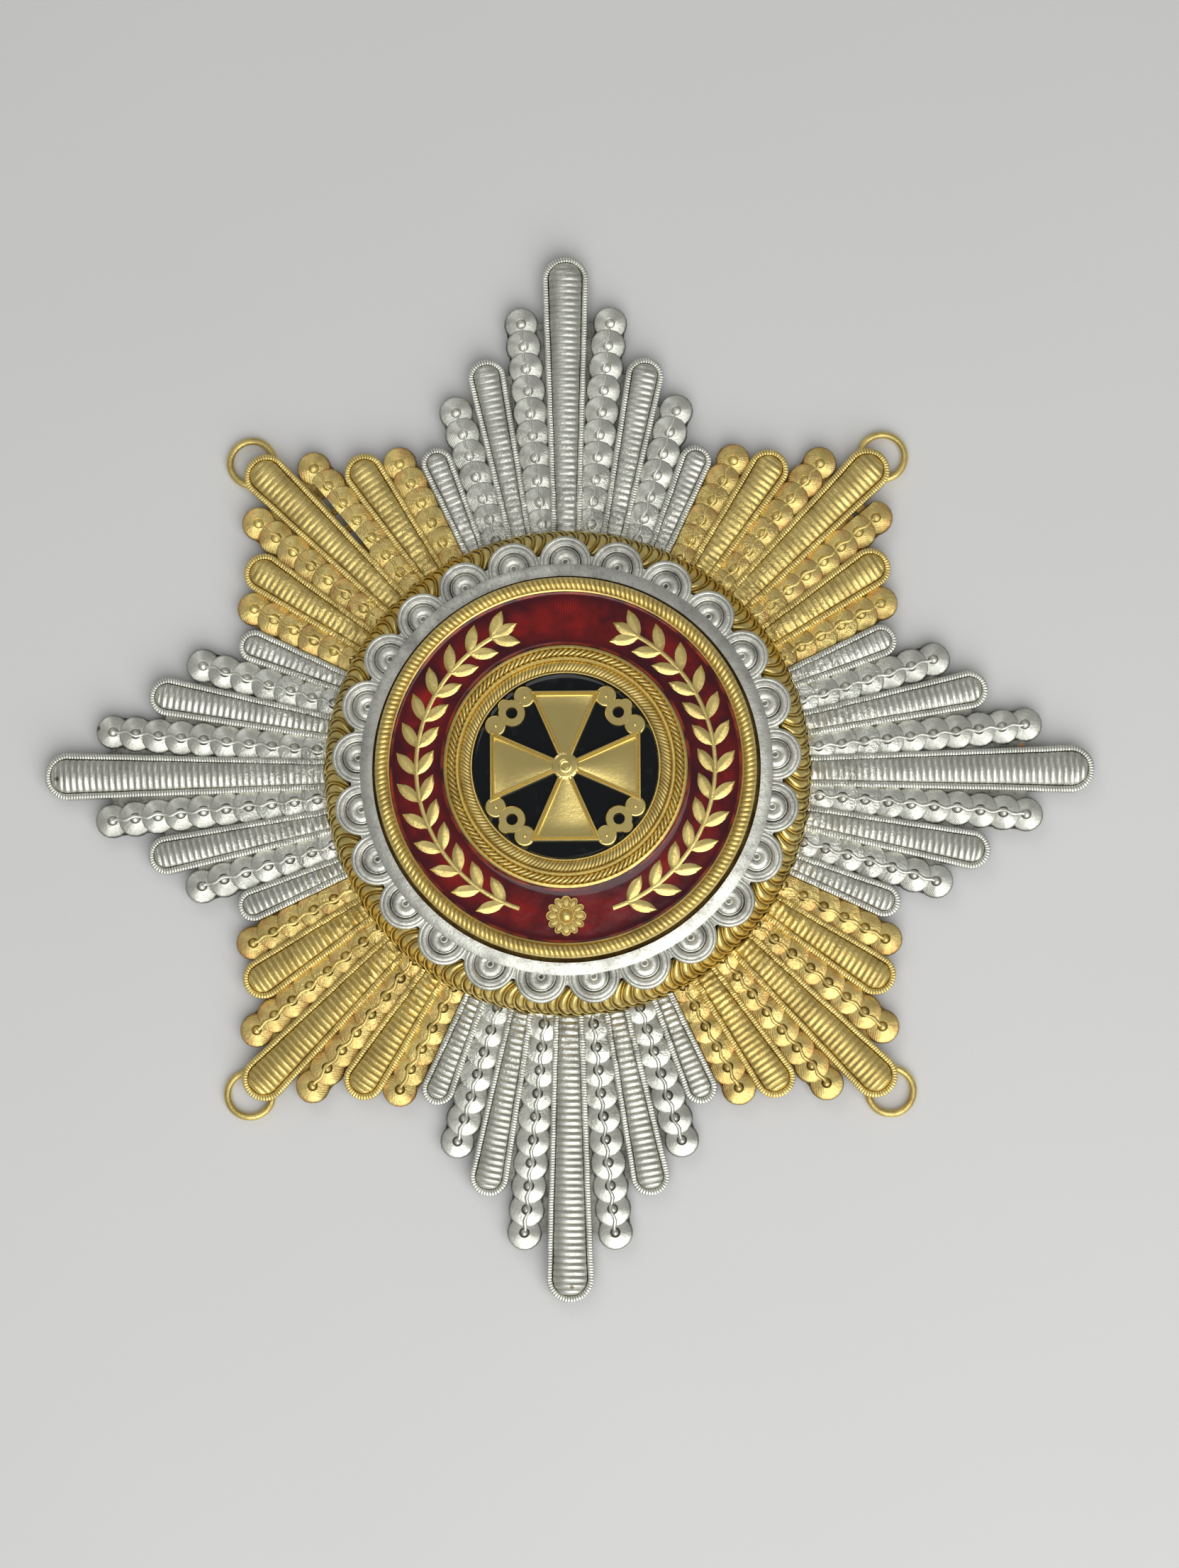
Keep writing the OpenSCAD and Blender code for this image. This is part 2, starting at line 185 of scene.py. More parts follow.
def weld(part):
    bmesh.ops.remove_doubles(part, verts=part.verts, dist=0.0005)


def close_border(part):
    """Fill each open border with one face"""
    border = [edge for edge in part.edges if edge.is_boundary]
    bmesh.ops.holes_fill(part, edges=border, sides=0)


def shaped_part(across, along, place):
    """Part made of one grid that is bent until its sides meet, with its ends filled"""
    part = blank_part()
    shaped_grid(part, across, along, place)
    weld(part)
    close_border(part)
    return part


def lift_new(made, height):
    """Put the vertices of an extrusion at a height"""
    for item in made["geom"]:
        if isinstance(item, bmesh.types.BMVert):
            item.co.z = height


def close_below(part, height):
    """Skirt from the open border down to a height, with a face under it"""
    border = [edge for edge in part.edges if edge.is_boundary]
    lift_new(bmesh.ops.extrude_edge_only(part, edges=border), height)
    close_border(part)


def set_patina_and_shade(part, value):
    patina_and_shade = part.verts.layers.float["patina_and_shade"]
    for vert in part.verts:
        vert[patina_and_shade] = value


def add_part(whole, part, turn=0.0, shift=(0.0, 0.0, 0.0)):
    """Move a part to its place, turned clockwise, and add it to the whole piece"""
    part.transform(Matrix.Rotation(-turn, 4, "Z") @ Matrix.Translation(shift))
    mesh = bpy.data.meshes.new("part")
    part.to_mesh(mesh)
    part.free()
    whole.from_mesh(mesh)
    bpy.data.meshes.remove(mesh)


def lathe(profile, segments, patina_and_shade=0.0):
    """Part turned round the upright axis from a profile of radius and height"""
    part = blank_part()
    verts = [part.verts.new((radius, 0.0, height)) for radius, height in profile]
    edges = [part.edges.new(pair) for pair in zip(verts, verts[1:])]
    bmesh.ops.spin(part, geom=verts + edges, cent=(0, 0, 0), axis=(0, 0, 1), angle=math.tau,
                   steps=segments, use_merge=True)
    weld(part)
    set_patina_and_shade(part, patina_and_shade)
    return part


def prism(outline, low, high, patina_and_shade=0.0):
    """Upright block over an outline of points"""
    part = blank_part()
    face = part.faces.new([part.verts.new((x, y, low)) for x, y in outline])
    lift_new(bmesh.ops.extrude_face_region(part, geom=[face]), high)
    bmesh.ops.recalc_face_normals(part, faces=part.faces)
    set_patina_and_shade(part, patina_and_shade)
    return part


def trim(part, point, outwards):
    """Cut away what lies beyond a plane, and close the cut"""
    everything = part.verts[:] + part.edges[:] + part.faces[:]
    bmesh.ops.bisect_plane(part, geom=everything, plane_co=point, plane_no=outwards,
                           clear_outer=True)
    close_border(part)


def round_angle(column, sides):
    """Angle of a column of a round form, whose last column lies on its first"""
    return math.tau * (column % sides) / sides


def clock_point(radius, around, height):
    """Point at an angle that is counted clockwise from the top of the star"""
    return radius * math.sin(around), radius * math.cos(around), height


def tip_arc(radius, middle_y, steps):
    """Points over the round tip of a lane, from left to right"""
    turns = [math.pi * k / steps for k in range(steps + 1)]
    return [(-radius * math.cos(turn), middle_y + radius * math.sin(turn)) for turn in turns]


def notch(edge, deep, y, length):
    """Corners of a notch in the left side of an outline"""
    low, high = y - length / 2, y + length / 2
    return [(edge, low), (deep, low), (deep, high), (edge, high)]


def weather(whole, rough):
    """Uneven casting, rougher near the medallion"""
    noise.seed_set(CASTING_SEED)
    for vert in whole.verts:
        away = math.hypot(vert.co.x, vert.co.y)
        share = min(max((ROUGH_R - away) / ROUGH_FADE, 0.0), 1.0)
        vert.co += UNEVEN * noise.noise_vector(vert.co * SLOW_WAVES)
        vert.co.z += rough * share * noise.noise(vert.co * ROUGH_WAVES)


def finish_piece(name, whole, finish, nodes):
    """Make the whole mesh an object in metres that stands for its CAD nodes"""
    bmesh.ops.recalc_face_normals(whole, faces=whole.faces)
    for face in whole.faces:
        face.smooth = True
    bmesh.ops.scale(whole, vec=(MM, MM, MM), verts=whole.verts)
    mesh = bpy.data.meshes.new(name)
    whole.to_mesh(mesh)
    whole.free()
    mesh.set_sharp_from_angle(angle=SMOOTH_ANGLE)
    mesh.materials.append(finish)
    piece = bpy.data.objects.new(name, mesh)
    bpy.context.scene.collection.objects.link(piece)
    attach(piece, "root")
    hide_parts(*nodes)


def dress_node(name, finish):
    """Give a CAD node that stays in view its finish"""
    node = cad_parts[name]
    node.data.materials.clear()
    node.data.materials.append(finish)


# Finishes, with lengths in metres and noise in waves for a metre

class Finish:
    """A new material, with short ways to add its nodes"""

    def __init__(self, name):
        self.material = bpy.data.materials.new(name)
        self.material.use_nodes = True
        self.tree = self.material.node_tree
        self.shader = self.tree.nodes["Principled BSDF"]
        self.place = self.add("ShaderNodeTexCoord").outputs["Object"]

    def add(self, kind, *values, **settings):
        """Add a node with its settings, and feed its first inputs"""
        node = self.tree.nodes.new(kind)
        for key, value in settings.items():
            setattr(node, key, value)
        for socket, value in zip(node.inputs, values):
            self.feed(socket, value)
        return node

    def feed(self, socket, value):
        if isinstance(value, bpy.types.NodeSocket):
            self.tree.links.new(value, socket)
        else:
            socket.default_value = value

    def math(self, operation, *values, clamp=False):
        node = self.add("ShaderNodeMath", *values, operation=operation, use_clamp=clamp)
        return node.outputs[0]

    def times(self, first, second):
        return self.math("MULTIPLY", first, second)

    def plus(self, first, second):
        return self.math("ADD", first, second)

    def parts(self, vector):
        return self.add("ShaderNodeSeparateXYZ", vector).outputs

    def noise(self, scale, detail=2.0, roughness=0.5):
        node = self.add("ShaderNodeTexNoise", self.place)
        node.inputs["Scale"].default_value = scale
        node.inputs["Detail"].default_value = detail
        node.inputs["Roughness"].default_value = roughness
        return node.outputs["Fac"]

    def spread(self, value, low, high, to_low=0.0, to_high=1.0):
        """Map a range of a value to another, held at its ends"""
        return self.add("ShaderNodeMapRange", value, low, high, to_low, to_high,
                        clamp=True).outputs[0]

    def mix(self, share, first, second):
        node = self.add("ShaderNodeMix", share, data_type="RGBA")
        self.feed(node.inputs[6], first)
        self.feed(node.inputs[7], second)
        return node.outputs[2]

    def attribute(self, name, output="Fac"):
        return self.add("ShaderNodeAttribute", attribute_name=name).outputs[output]

    def distance(self, x, y):
        """Distance from a point of the star, seen from above"""
        level = self.add("ShaderNodeVectorMath", self.place, (1.0, 1.0, 0.0),
                         operation="MULTIPLY").outputs[0]
        return self.add("ShaderNodeVectorMath", level, (x * MM, y * MM, 0.0),
                        operation="DISTANCE").outputs[1]

    def bump(self, height, strength, distance, below=None):
        node = self.add("ShaderNodeBump")
        node.inputs["Strength"].default_value = strength
        node.inputs["Distance"].default_value = distance
        self.feed(node.inputs["Height"], height)
        if below is not None:
            self.feed(node.inputs["Normal"], below)
        return node.outputs[0]

    def set(self, **values):
        for key, value in values.items():
            self.feed(self.shader.inputs[key.replace("_", " ")], value)


def rgba(colour, share=1.0):
    return tuple(share * channel for channel in colour) + (1.0,)


def metal(name, colour, shade, wear=0.5, grain=0.4, hatch=0.0, rough=0.36, marks=(), blush=None):
    """Worn cast metal, darker in its hollows from patina and painted shade, with fine grain and
    small dents
    """
    finish = Finish(name)
    patches = finish.noise(420.0, 5.0, 0.6)
    specks = finish.noise(3800.0, 3.0, 0.6)
    stain = finish.times(finish.spread(patches, 0.42, 0.75, 0.0, wear), 0.6)
    speck = finish.spread(specks, 0.5, 0.75, 0.0, wear)
    # The vertex layer darkens the metal both where it has patina and where shade is painted into
    # it
    dirt_and_shade = finish.math("MULTIPLY_ADD", finish.attribute("patina_and_shade"), 0.85, stain)
    dirt_and_shade = finish.math("MULTIPLY_ADD", speck, 0.35, dirt_and_shade, clamp=True)
    clean = rgba(colour)
    if hatch:
        across, along, dome = finish.parts(finish.attribute("local", "Vector"))
        inner = finish.times(finish.spread(along, 0.7, 0.2), dome)
        dirt_and_shade = finish.math("MULTIPLY_ADD", inner, 0.22, dirt_and_shade, clamp=True)
    if blush:
        warm = finish.spread(finish.noise(650.0, 3.0), 0.42, 0.6)
        warm = finish.times(warm, finish.times(dome, 0.8))
        clean = finish.mix(warm, clean, rgba(blush))
    tone = finish.mix(dirt_and_shade, clean, rgba(shade))
    for x, y, radius, mark in marks:
        size = radius * MM
        far = finish.math("MULTIPLY_ADD", patches, size, finish.distance(x, y))
        tone = finish.mix(finish.spread(far, 1.5 * size, 0.9 * size, 0.0, 0.85), tone, rgba(mark))
    finish.set(
        Base_Color=tone,
        Metallic=1.0,
        Roughness=finish.spread(dirt_and_shade, 0.0, 1.0, rough, rough + 0.3),
    )
    frost = finish.times(finish.noise(9000.0, 2.0, 0.6), 0.5)
    height = finish.plus(finish.plus(specks, frost), finish.times(patches, 2.0))
    normal = finish.bump(height, grain, 0.00006)
    if hatch:
        lines = slanted_lines(finish, across, along)
        shown = finish.times(finish.spread(finish.noise(500.0, 1.0), 0.35, 0.5), inner)
        normal = finish.bump(finish.times(lines, shown), hatch, 0.00003, normal)
        normal = finish.bump(crumple(finish), 0.7, 0.0003, normal)
    finish.set(Normal=normal)
    return finish.material


def slanted_lines(finish, across, along):
    """Waves of 0.16 mm that run aslant over a sequin"""
    slant = finish.plus(finish.times(across, 0.7), finish.times(along, -0.7))
    return finish.math("SINE", finish.times(slant, math.tau / 0.16))


def crumple(finish):
    """Crumpled skin beside the rope ring, in patches that thin out further from it"""
    away = finish.distance(0.0, 0.0)
    share = finish.times(finish.spread(away, 0.0228, 0.0236), finish.spread(away, 0.036, 0.026))
    share = finish.times(share, finish.spread(finish.noise(300.0, 2.0), 0.4, 0.6))
    return finish.times(finish.noise(1900.0, 3.0, 0.65), share)


def red_enamel(colours):
    """Clear red enamel over an engraved ground, darker along the metal"""
    finish = Finish("red enamel")
    x, y, _ = finish.parts(finish.place)
    radius = finish.math("SQRT", finish.math("MULTIPLY_ADD", x, x, finish.times(y, y)))
    near = finish.math("MINIMUM", finish.math("SUBTRACT", radius, INNER_R * MM),
                       finish.math("SUBTRACT", CORD_IN_R * MM, radius))
    deep = finish.spread(finish.noise(190.0, 5.0, 0.6), 0.36, 0.6)
    glow = finish.times(deep, finish.spread(near, 0.0005, 0.0018, 0.25, 1.0))
    ground = finish.mix(glow, rgba(colours.red_depth), rgba(colours.red))
    wobble = finish.times(finish.noise(260.0), 20.0)
    turn = finish.math("ARCTAN2", y, x)
    lines = finish.math("SINE", finish.math("MULTIPLY_ADD", turn, 420.0, wobble))
    patchy = finish.spread(finish.noise(420.0, 3.0), 0.45, 0.65)
    streak = finish.times(finish.spread(lines, -0.2, 1.0), patchy)
    streak = finish.times(streak, finish.times(glow, 0.6))
    ground = finish.mix(streak, ground, rgba(colours.red, 2.6))
    broken = finish.spread(finish.noise(520.0, 4.0), 0.4, 0.66)
    rim = finish.times(finish.times(finish.spread(near, 0.00035, 0.00022), broken), 0.75)
    finish.set(
        Base_Color=finish.mix(rim, ground, rgba(colours.red_edge)),
        Roughness=0.14, Coat_Weight=0.6, Coat_Roughness=0.03, Specular_IOR_Level=0.2,
        Normal=finish.bump(finish.noise(420.0, 2.0), 0.2, 0.0003),
    )
    return finish.material


def black_enamel(colours):
    finish = Finish("black enamel")
    dust = finish.spread(finish.noise(900.0, 4.0), 0.6, 0.75)
    finish.set(
        Base_Color=finish.mix(dust, rgba(colours.black), rgba(colours.black, 3.0)),
        Roughness=finish.spread(finish.noise(1200.0, 3.0), 0.5, 0.8, 0.08, 0.2),
        Specular_IOR_Level=0.12, Coat_Weight=0.5, Coat_Roughness=0.03,
        Normal=finish.bump(finish.noise(420.0, 2.0), 0.12, 0.0003),
    )
    return finish.material


# Arms and fans

def tip_radius(half):
    return half * TIP_SWELL


def ray_half_at(half, tip_y, y):
    """Half width of a ray at a distance from the centre"""
    share = (y - ROPE_MID_R) / (tip_y - ROPE_MID_R)
    return half * (RAY_TAPER + (TIP_SWELL - RAY_TAPER) * share)


def by_direction(turn, middle, swing):
    """Value that is lowest on the lane at the top of the star and highest at its bottom"""
    return middle - swing * math.cos(turn)


def lane_part(reach, half, cord_w, pitch, height):
    """Convex lane of a ray with ribs straight across it"""
    end_half = half - cord_w + OVERLAP
    end = reach - cord_w - end_half
    length = end + 0.97 * end_half - RELIEF_R
    ribs = round(length / pitch)

    def place(column, row):
        rib, step = divmod(row, len(RIB_ROWS))
        share, crest = RIB_ROWS[step]
        y = RELIEF_R + (rib + share) * length / ribs
        if y < end:
            wide = half * (RAY_TAPER + (1 - RAY_TAPER) * (y - ROPE_MID_R) / (end - ROPE_MID_R))
            wide -= cord_w - OVERLAP
        else:
            wide = math.sqrt(max(end_half ** 2 - (y - end) ** 2, 0.01))
        x = -wide * math.cos(math.pi * column / LANE_SIDES)
        edge = abs(x) / wide
        if y > end:
            edge = max(edge, math.hypot(x, y - end) / end_half)
        fall = min(edge, 1.0) ** EDGE_POWER
        z = RIM_Z - LANE_DEPTH + math.sqrt(wide ** 2 + LANE_DEPTH ** 2 - x ** 2)
        z += height * crest - EDGE_FALL * fall
        return (x, y, z), (1 - crest) * 0.25 + 0.3 * fall

    part = blank_part()
    shaped_grid(part, LANE_SIDES, ribs * len(RIB_ROWS), place)
    close_below(part, LANE_FOOT)
    return part


def ray_outline(reach, half, start):
    """Points round a ray, from its inner end over the round tip and back"""
    end_r = tip_radius(half)
    tip_y = reach - end_r
    foot = ray_half_at(half, tip_y, start)
    return [(-foot, start)] + tip_arc(end_r, tip_y, 18) + [(foot, start)]


def cord_part(reach, half, cord_w, pitch):
    """Ribbed cord along the rim of a ray"""
    radius = cord_w / 2
    end_r = tip_radius(half)
    tip_y = reach - end_r
    bend = end_r - radius
    foot = ray_half_at(half, tip_y, RELIEF_R) - radius
    side = math.hypot(bend - foot, tip_y - RELIEF_R)
    lean = math.asin((bend - foot) / side)
    total = 2 * side + math.pi * bend
    ribs = round(total / pitch)

    def spot(along):
        """Point on the cord's middle line, and the way outwards"""
        if side < along < total - side:
            turn = (along - side) / bend
            out_x, out_y = -math.cos(turn), math.sin(turn)
            return -bend * math.cos(turn), tip_y + bend * math.sin(turn), out_x, out_y
        mirror = -1 if along <= side else 1
        share = min(along, total - along) / side
        x = mirror * (foot + (bend - foot) * share)
        return x, RELIEF_R + (tip_y - RELIEF_R) * share, mirror * math.cos(lean), math.sin(lean)

    def place(column, row):
        rib, step = divmod(row, len(CORD_ROWS))
        share, swell = CORD_ROWS[step]
        x, y, out_x, out_y = spot(min((rib + share) / ribs, 1.0) * total)
        across, up = CORD_SECTION[column % len(CORD_SECTION)]
        if up > 0:
            across, up = across * (0.5 + 0.5 * swell), up * swell
        z = RIM_Z - radius + up * radius
        patina_and_shade = 0.4 if swell < 1 else 0.0
        return (x + out_x * across * radius, y + out_y * across * radius, z), patina_and_shade

    return shaped_part(len(CORD_SECTION), ribs * len(CORD_ROWS), place)


def ray_parts(whole, reach, breadth, turn, sizes):
    """Ray: its plain base, the cord along its rim and the ribbed lane inside it"""
    half = RAY_W * breadth / 2
    cord_w = sizes.cord_width / MM
    relief = sizes.rib_height / MM * by_direction(turn, 0.9, 0.4)
    outline = ray_outline(reach, half - OVERLAP, RELIEF_R)
    # The base under the cord and lane is fully darkened: painted shade in its recess
    add_part(whole, prism(outline, PLATE_BOTTOM, RAY_BASE_TOP, 1.0), turn)
    add_part(whole, cord_part(reach, half, cord_w, sizes.cord_pitch / MM), turn)
    add_part(whole, lane_part(reach, half, cord_w, sizes.rib_pitch / MM, relief), turn)


def sequin_surface(x, y):
    """Height of a sequin's top without its dimple, from its own middle"""
    dome = 0.2 * (min(math.hypot(x, y), SEQUIN_R) / SEQUIN_R) ** 2.2
    tuck = 0.2 * min(max((0.45 - y) / 1.0, 0.0), 1.0) ** 1.2
    return SEQUIN_TOP - dome - tuck


def sequin_part(middle_y, swell, deep):
    """Domed sequin with a dimple, its inner half tucked under the next one"""
    edge = SEQUIN_R * swell

    def place(column, row):
        share, drop, patina_and_shade = SEQUIN_RINGS[row]
        turn = round_angle(column, SEQUIN_SIDES)
        x, y = edge * share * math.cos(turn), edge * share * math.sin(turn)
        # deep also scales the dimple's painted shade, darker on the bottom arm than on the top one
        if row >= DIMPLE_RING:
            drop, patina_and_shade = drop * deep, patina_and_shade * deep
        dome = 1.0 if row in DOME_RINGS else 0.0
        return (x, middle_y + y, sequin_surface(x, y) - drop), patina_and_shade, (x, y, dome)

    return shaped_part(SEQUIN_SIDES, len(SEQUIN_RINGS) - 1, place)


def thread_part(places, side, sunk):
    """Wavy thread that ties a strand's sequins, sunk a little into them"""
    first = places[0]
    rows = int((first - RELIEF_R) / SEQUIN_PITCH * THREAD_STEPS)

    def place(column, row):
        y = first - row * SEQUIN_PITCH / THREAD_STEPS
        wave = THREAD_OFF + THREAD_SWING * math.cos(math.tau * row / THREAD_STEPS)
        x = -side * wave * min(row / 3, 1.0)
        height = max(sequin_surface(x, y - middle) if abs(y - middle) < SEQUIN_R else 0.0
                     for middle in places)
        height -= 0.14 * max(1 - row / 2, 0.0)
        across, up, patina_and_shade = THREAD_SECTION[column % len(THREAD_SECTION)]
        return (x + across, y, height + up + 0.04 - sunk), patina_and_shade

    return shaped_part(len(THREAD_SECTION), rows, place)


def strand_parts(whole, reach, turn, side, cut=None, holes=()):
    """Sequins that overlap like tiles, their bed and their thread"""
    places = []
    y = reach - SEQUIN_R
    while y > ROPE_MID_R:
        places.append(y)
        y -= SEQUIN_PITCH
    half = SEQUIN_R - 0.2
    outline = [(-half, RELIEF_R)]
    for y, length, near, _ in holes:
        outline += notch(-half, -near, y, length)
    outline += tip_arc(half, places[0], 12) + [(half, RELIEF_R)]
    # The bed under the sequins is fully darkened: painted shade in the recess between them
    strand = prism(outline, PLATE_BOTTOM, PLATE_TOP, 1.0)
    for index, middle in enumerate(places):
        if middle + SEQUIN_R > RELIEF_R:
            swell = 1.0 if index == 0 else 1.05
            sequin = sequin_part(middle, swell, by_direction(turn, 0.72, 0.28))
            for y, _, near, _ in holes:
                if abs(y - middle) < 1.8:
                    trim(sequin, (-near, 0.0, 0.0), (-1.0, 0.0, 0.0))
            add_part(strand, sequin)
    add_part(strand, thread_part(places, side, 0.09 * max(math.cos(turn), 0.0)))
    trim(strand, (0.0, RELIEF_R, 0.0), (0.0, -1.0, 0.0))
    if cut:
        trim(strand, *cut)
    add_part(whole, strand, turn)


def plate_part(outer_r, half_span):
    """Flat plate under the inner ends of the lanes"""
    part = blank_part()
    inner_r = DRUM_R + GAP
    arc = half_span - GAP / 2 / DRUM_R
    corners = ((inner_r, PLATE_BOTTOM), (outer_r, PLATE_BOTTOM), (outer_r, PLATE_TOP),
               (inner_r, PLATE_TOP))
    face = part.faces.new([part.verts.new(clock_point(radius, -arc, z)) for radius, z in corners])
    bmesh.ops.spin(part, geom=[face], cent=(0, 0, 0), axis=(0, 0, -1), angle=2 * arc, steps=24)
    bmesh.ops.recalc_face_normals(part, faces=part.faces)
    set_patina_and_shade(part, PLATE_PAINTED_SHADE)
    return part


def web_part(side, near, far, holes):
    """Plate between a lane and the one before it, from one radius to another"""
    outline = [(0.0, near)]
    for y, length, _, wide in holes:
        outline += notch(0.0, -wide, y, length)
    outline.append((0.0, far))
    for radius in (far, near):
        outline.append((-side * radius * math.sin(LANE_STEP), radius * math.cos(LANE_STEP)))
    return prism(outline, PLATE_BOTTOM, PLATE_TOP, PLATE_PAINTED_SHADE)


def lane_group(lanes, turn, sizes, holes=()):
    """Whole arm or fan: its plate and its lanes"""
    whole = blank_part()
    plate_r = min([WEB_R] + [y - length / 2 - 0.3 for y, length, _, _ in holes])
    add_part(whole, plate_part(plate_r, (len(lanes) - 0.5) * LANE_STEP), turn)
    for index, (kind, reach, breadth) in enumerate(lanes):
        for side in ((1,) if index == 0 else (-1, 1)):
            lane_turn = turn + side * index * LANE_STEP
            open_at = holes if index == side == 1 else ()
            tip = reach * STAR_R
            if kind == RAY:
                ray_parts(whole, tip, breadth, lane_turn, sizes)
                far = tip - tip_radius(RAY_W * breadth / 2)
            else:
                cut = None
                if index == len(lanes) - 1:
                    normal = (side * math.cos(LANE_STEP / 2), -math.sin(LANE_STEP / 2), 0.0)
                    cut = ((-normal[0] * GAP / 2, -normal[1] * GAP / 2, 0.0), normal)
                strand_parts(whole, tip, lane_turn, side, cut, open_at)
                far = tip - SEQUIN_R
            near = plate_r - 1.0
            if index > 0 and far > near:
                add_part(whole, web_part(side, near, far, open_at), lane_turn)
    return whole


def loop_part():
    """Sewing loop of round wire behind a fan's middle ray"""
    steps, sides = 40, 10

    def place(column, row):
        around = round_angle(row, steps)
        turned = round_angle(column, sides)
        radius = LOOP_MID_R + LOOP_WIRE_R * math.cos(turned)
        y = GOLD_LANES[0][1] * STAR_R + radius * math.sin(around)
        return (radius * math.cos(around), y, LOOP_Z + LOOP_WIRE_R * math.sin(turned)), 0.1

    return shaped_part(sides, steps, place)


# Rings

# Rows along one coil of the rope, as shares of its pitch
COIL_ROWS = (0.0, 0.12, 0.25, 0.38, 0.5, 0.62, 0.75, 0.88)
# How far the ends of a coil bend back along the ring
COIL_LEAN = 0.9
# Angles round the rope's section, in degrees: where the coils show, in how many steps, and where
# a coil is thickest and ends
ROPE_LOW = -20.0
ROPE_HIGH = 92.0
ROPE_STEPS = 26
COIL_MIDDLE = 58.0
COIL_REACH = 36.0
# Points that close the section under the coils: radius and angle
ROPE_INSIDE = ((1.4, 105.0), (1.3, 140.0), (1.35, 215.0), (1.35, 300.0))
# Small coil ends at the foot of the rope: their middle and half width along the pitch and in angle
END_SHARE, END_WIDTH = 0.62, 0.3
END_ANGLE = 11.0
ROPE_SKIN_R = 2.23
COIL_SWELL = 0.25
WIRE_MID_R = 2.41
WIRE_R = 0.09
WIRE_HALF_W = 0.07

# Rows along one rib of a round cord: share of the pitch and rise
TORUS_ROWS = ((0.0, 0.0), (0.12, 0.6), (0.35, 1.0), (0.65, 1.0), (0.88, 0.6))
TORUS_SIDES = 12


def coil_place(around, turned, radius):
    """Point of the rope ring: clockwise angle, angle round the rope's section, section radius"""
    out = ROPE_MID_R + radius * math.cos(turned)
    bend = (math.degrees(turned) - 45.0) / 45.0
    around -= COIL_LEAN * min(bend * bend, 1.6) / out
    return clock_point(out, around, ROPE_Z + radius * math.sin(turned))


def foot_flare(angle):
    """How much further out the rope reaches towards its foot, by the angle in degrees"""
    return 0.14 * max(1 - angle / 30.0, 0.0)


def rope_whole(coils):
    """Ring of coils that lean into each other, each behind its own thin wire"""
    pitch = math.tau / coils
    rows = coils * len(COIL_ROWS)
    sides = ROPE_STEPS + 1 + len(ROPE_INSIDE)

    def place(column, row):
        coil, step = divmod(row % rows, len(COIL_ROWS))
        share = COIL_ROWS[step]
        around = (coil + share) * pitch
        column %= sides
        if column > ROPE_STEPS:
            radius, angle = ROPE_INSIDE[column - ROPE_STEPS - 1]
            return coil_place(around, math.radians(angle), radius), 1.0
        angle = ROPE_LOW + (ROPE_HIGH - ROPE_LOW) * column / ROPE_STEPS
        lens = math.sqrt(max(1 - ((angle - COIL_MIDDLE) / COIL_REACH) ** 2, 0.0))
        swell = max(1 - ((share - 0.5) / (0.06 + 0.38 * lens)) ** 2, 0.0) * min(2 * lens, 1.0)
        end = 1 - ((share - END_SHARE) / END_WIDTH) ** 2 - ((angle - END_ANGLE) / END_ANGLE) ** 2
        swell = max(swell, 0.75 * max(end, 0.0))
        radius = ROPE_SKIN_R + COIL_SWELL * swell + foot_flare(angle)
        return coil_place(around, math.radians(angle), radius), 0.95 * (1 - swell) ** 1.8

    whole = shaped_part(sides, rows, place)
    for coil in range(coils):
        add_part(whole, coil_wire(coil * pitch))
    return whole


def coil_wire(around):
    """Thin wire over the front of one coil"""
    steps, sides = 15, 4
    low, high = math.radians(-22.0), math.radians(100.0)

    def place(column, row):
        turned = low + (high - low) * row / steps
        side = round_angle(column, sides)
        along = around + WIRE_HALF_W * math.cos(side) / 22.5
        radius = WIRE_MID_R + WIRE_R * math.sin(side) + foot_flare(math.degrees(turned))
        return coil_place(along, turned, radius), (0.0 if math.sin(side) > -0.5 else 1.0)

    return shaped_part(sides, steps, place)


def ribbed_torus(whole, middle_r, middle_z, width, height, ribs, slant, depth, soil=1.0, dull=0.0):
    """Ring of cord whose ribs lie aslant over it"""
    rows = ribs * len(TORUS_ROWS)
    pitch = math.tau / ribs

    def place(column, row):
        rib, step = divmod(row % rows, len(TORUS_ROWS))
        share, rise = TORUS_ROWS[step]
        turned = round_angle(column, TORUS_SIDES)
        across, up = math.cos(turned), math.sin(turned)
        top = max(up, 0.0) ** 0.5
        out = middle_r + across * (width / 2 - depth * (1 - rise) * top * 0.4)
        around = (rib + share) * pitch + slant * across * pitch
        z = middle_z + up * (height - depth * (1 - rise) * top)
        return clock_point(out, around, z), max((1 - rise) * soil, dull)

    add_part(whole, shaped_part(TORUS_SIDES, rows, place))


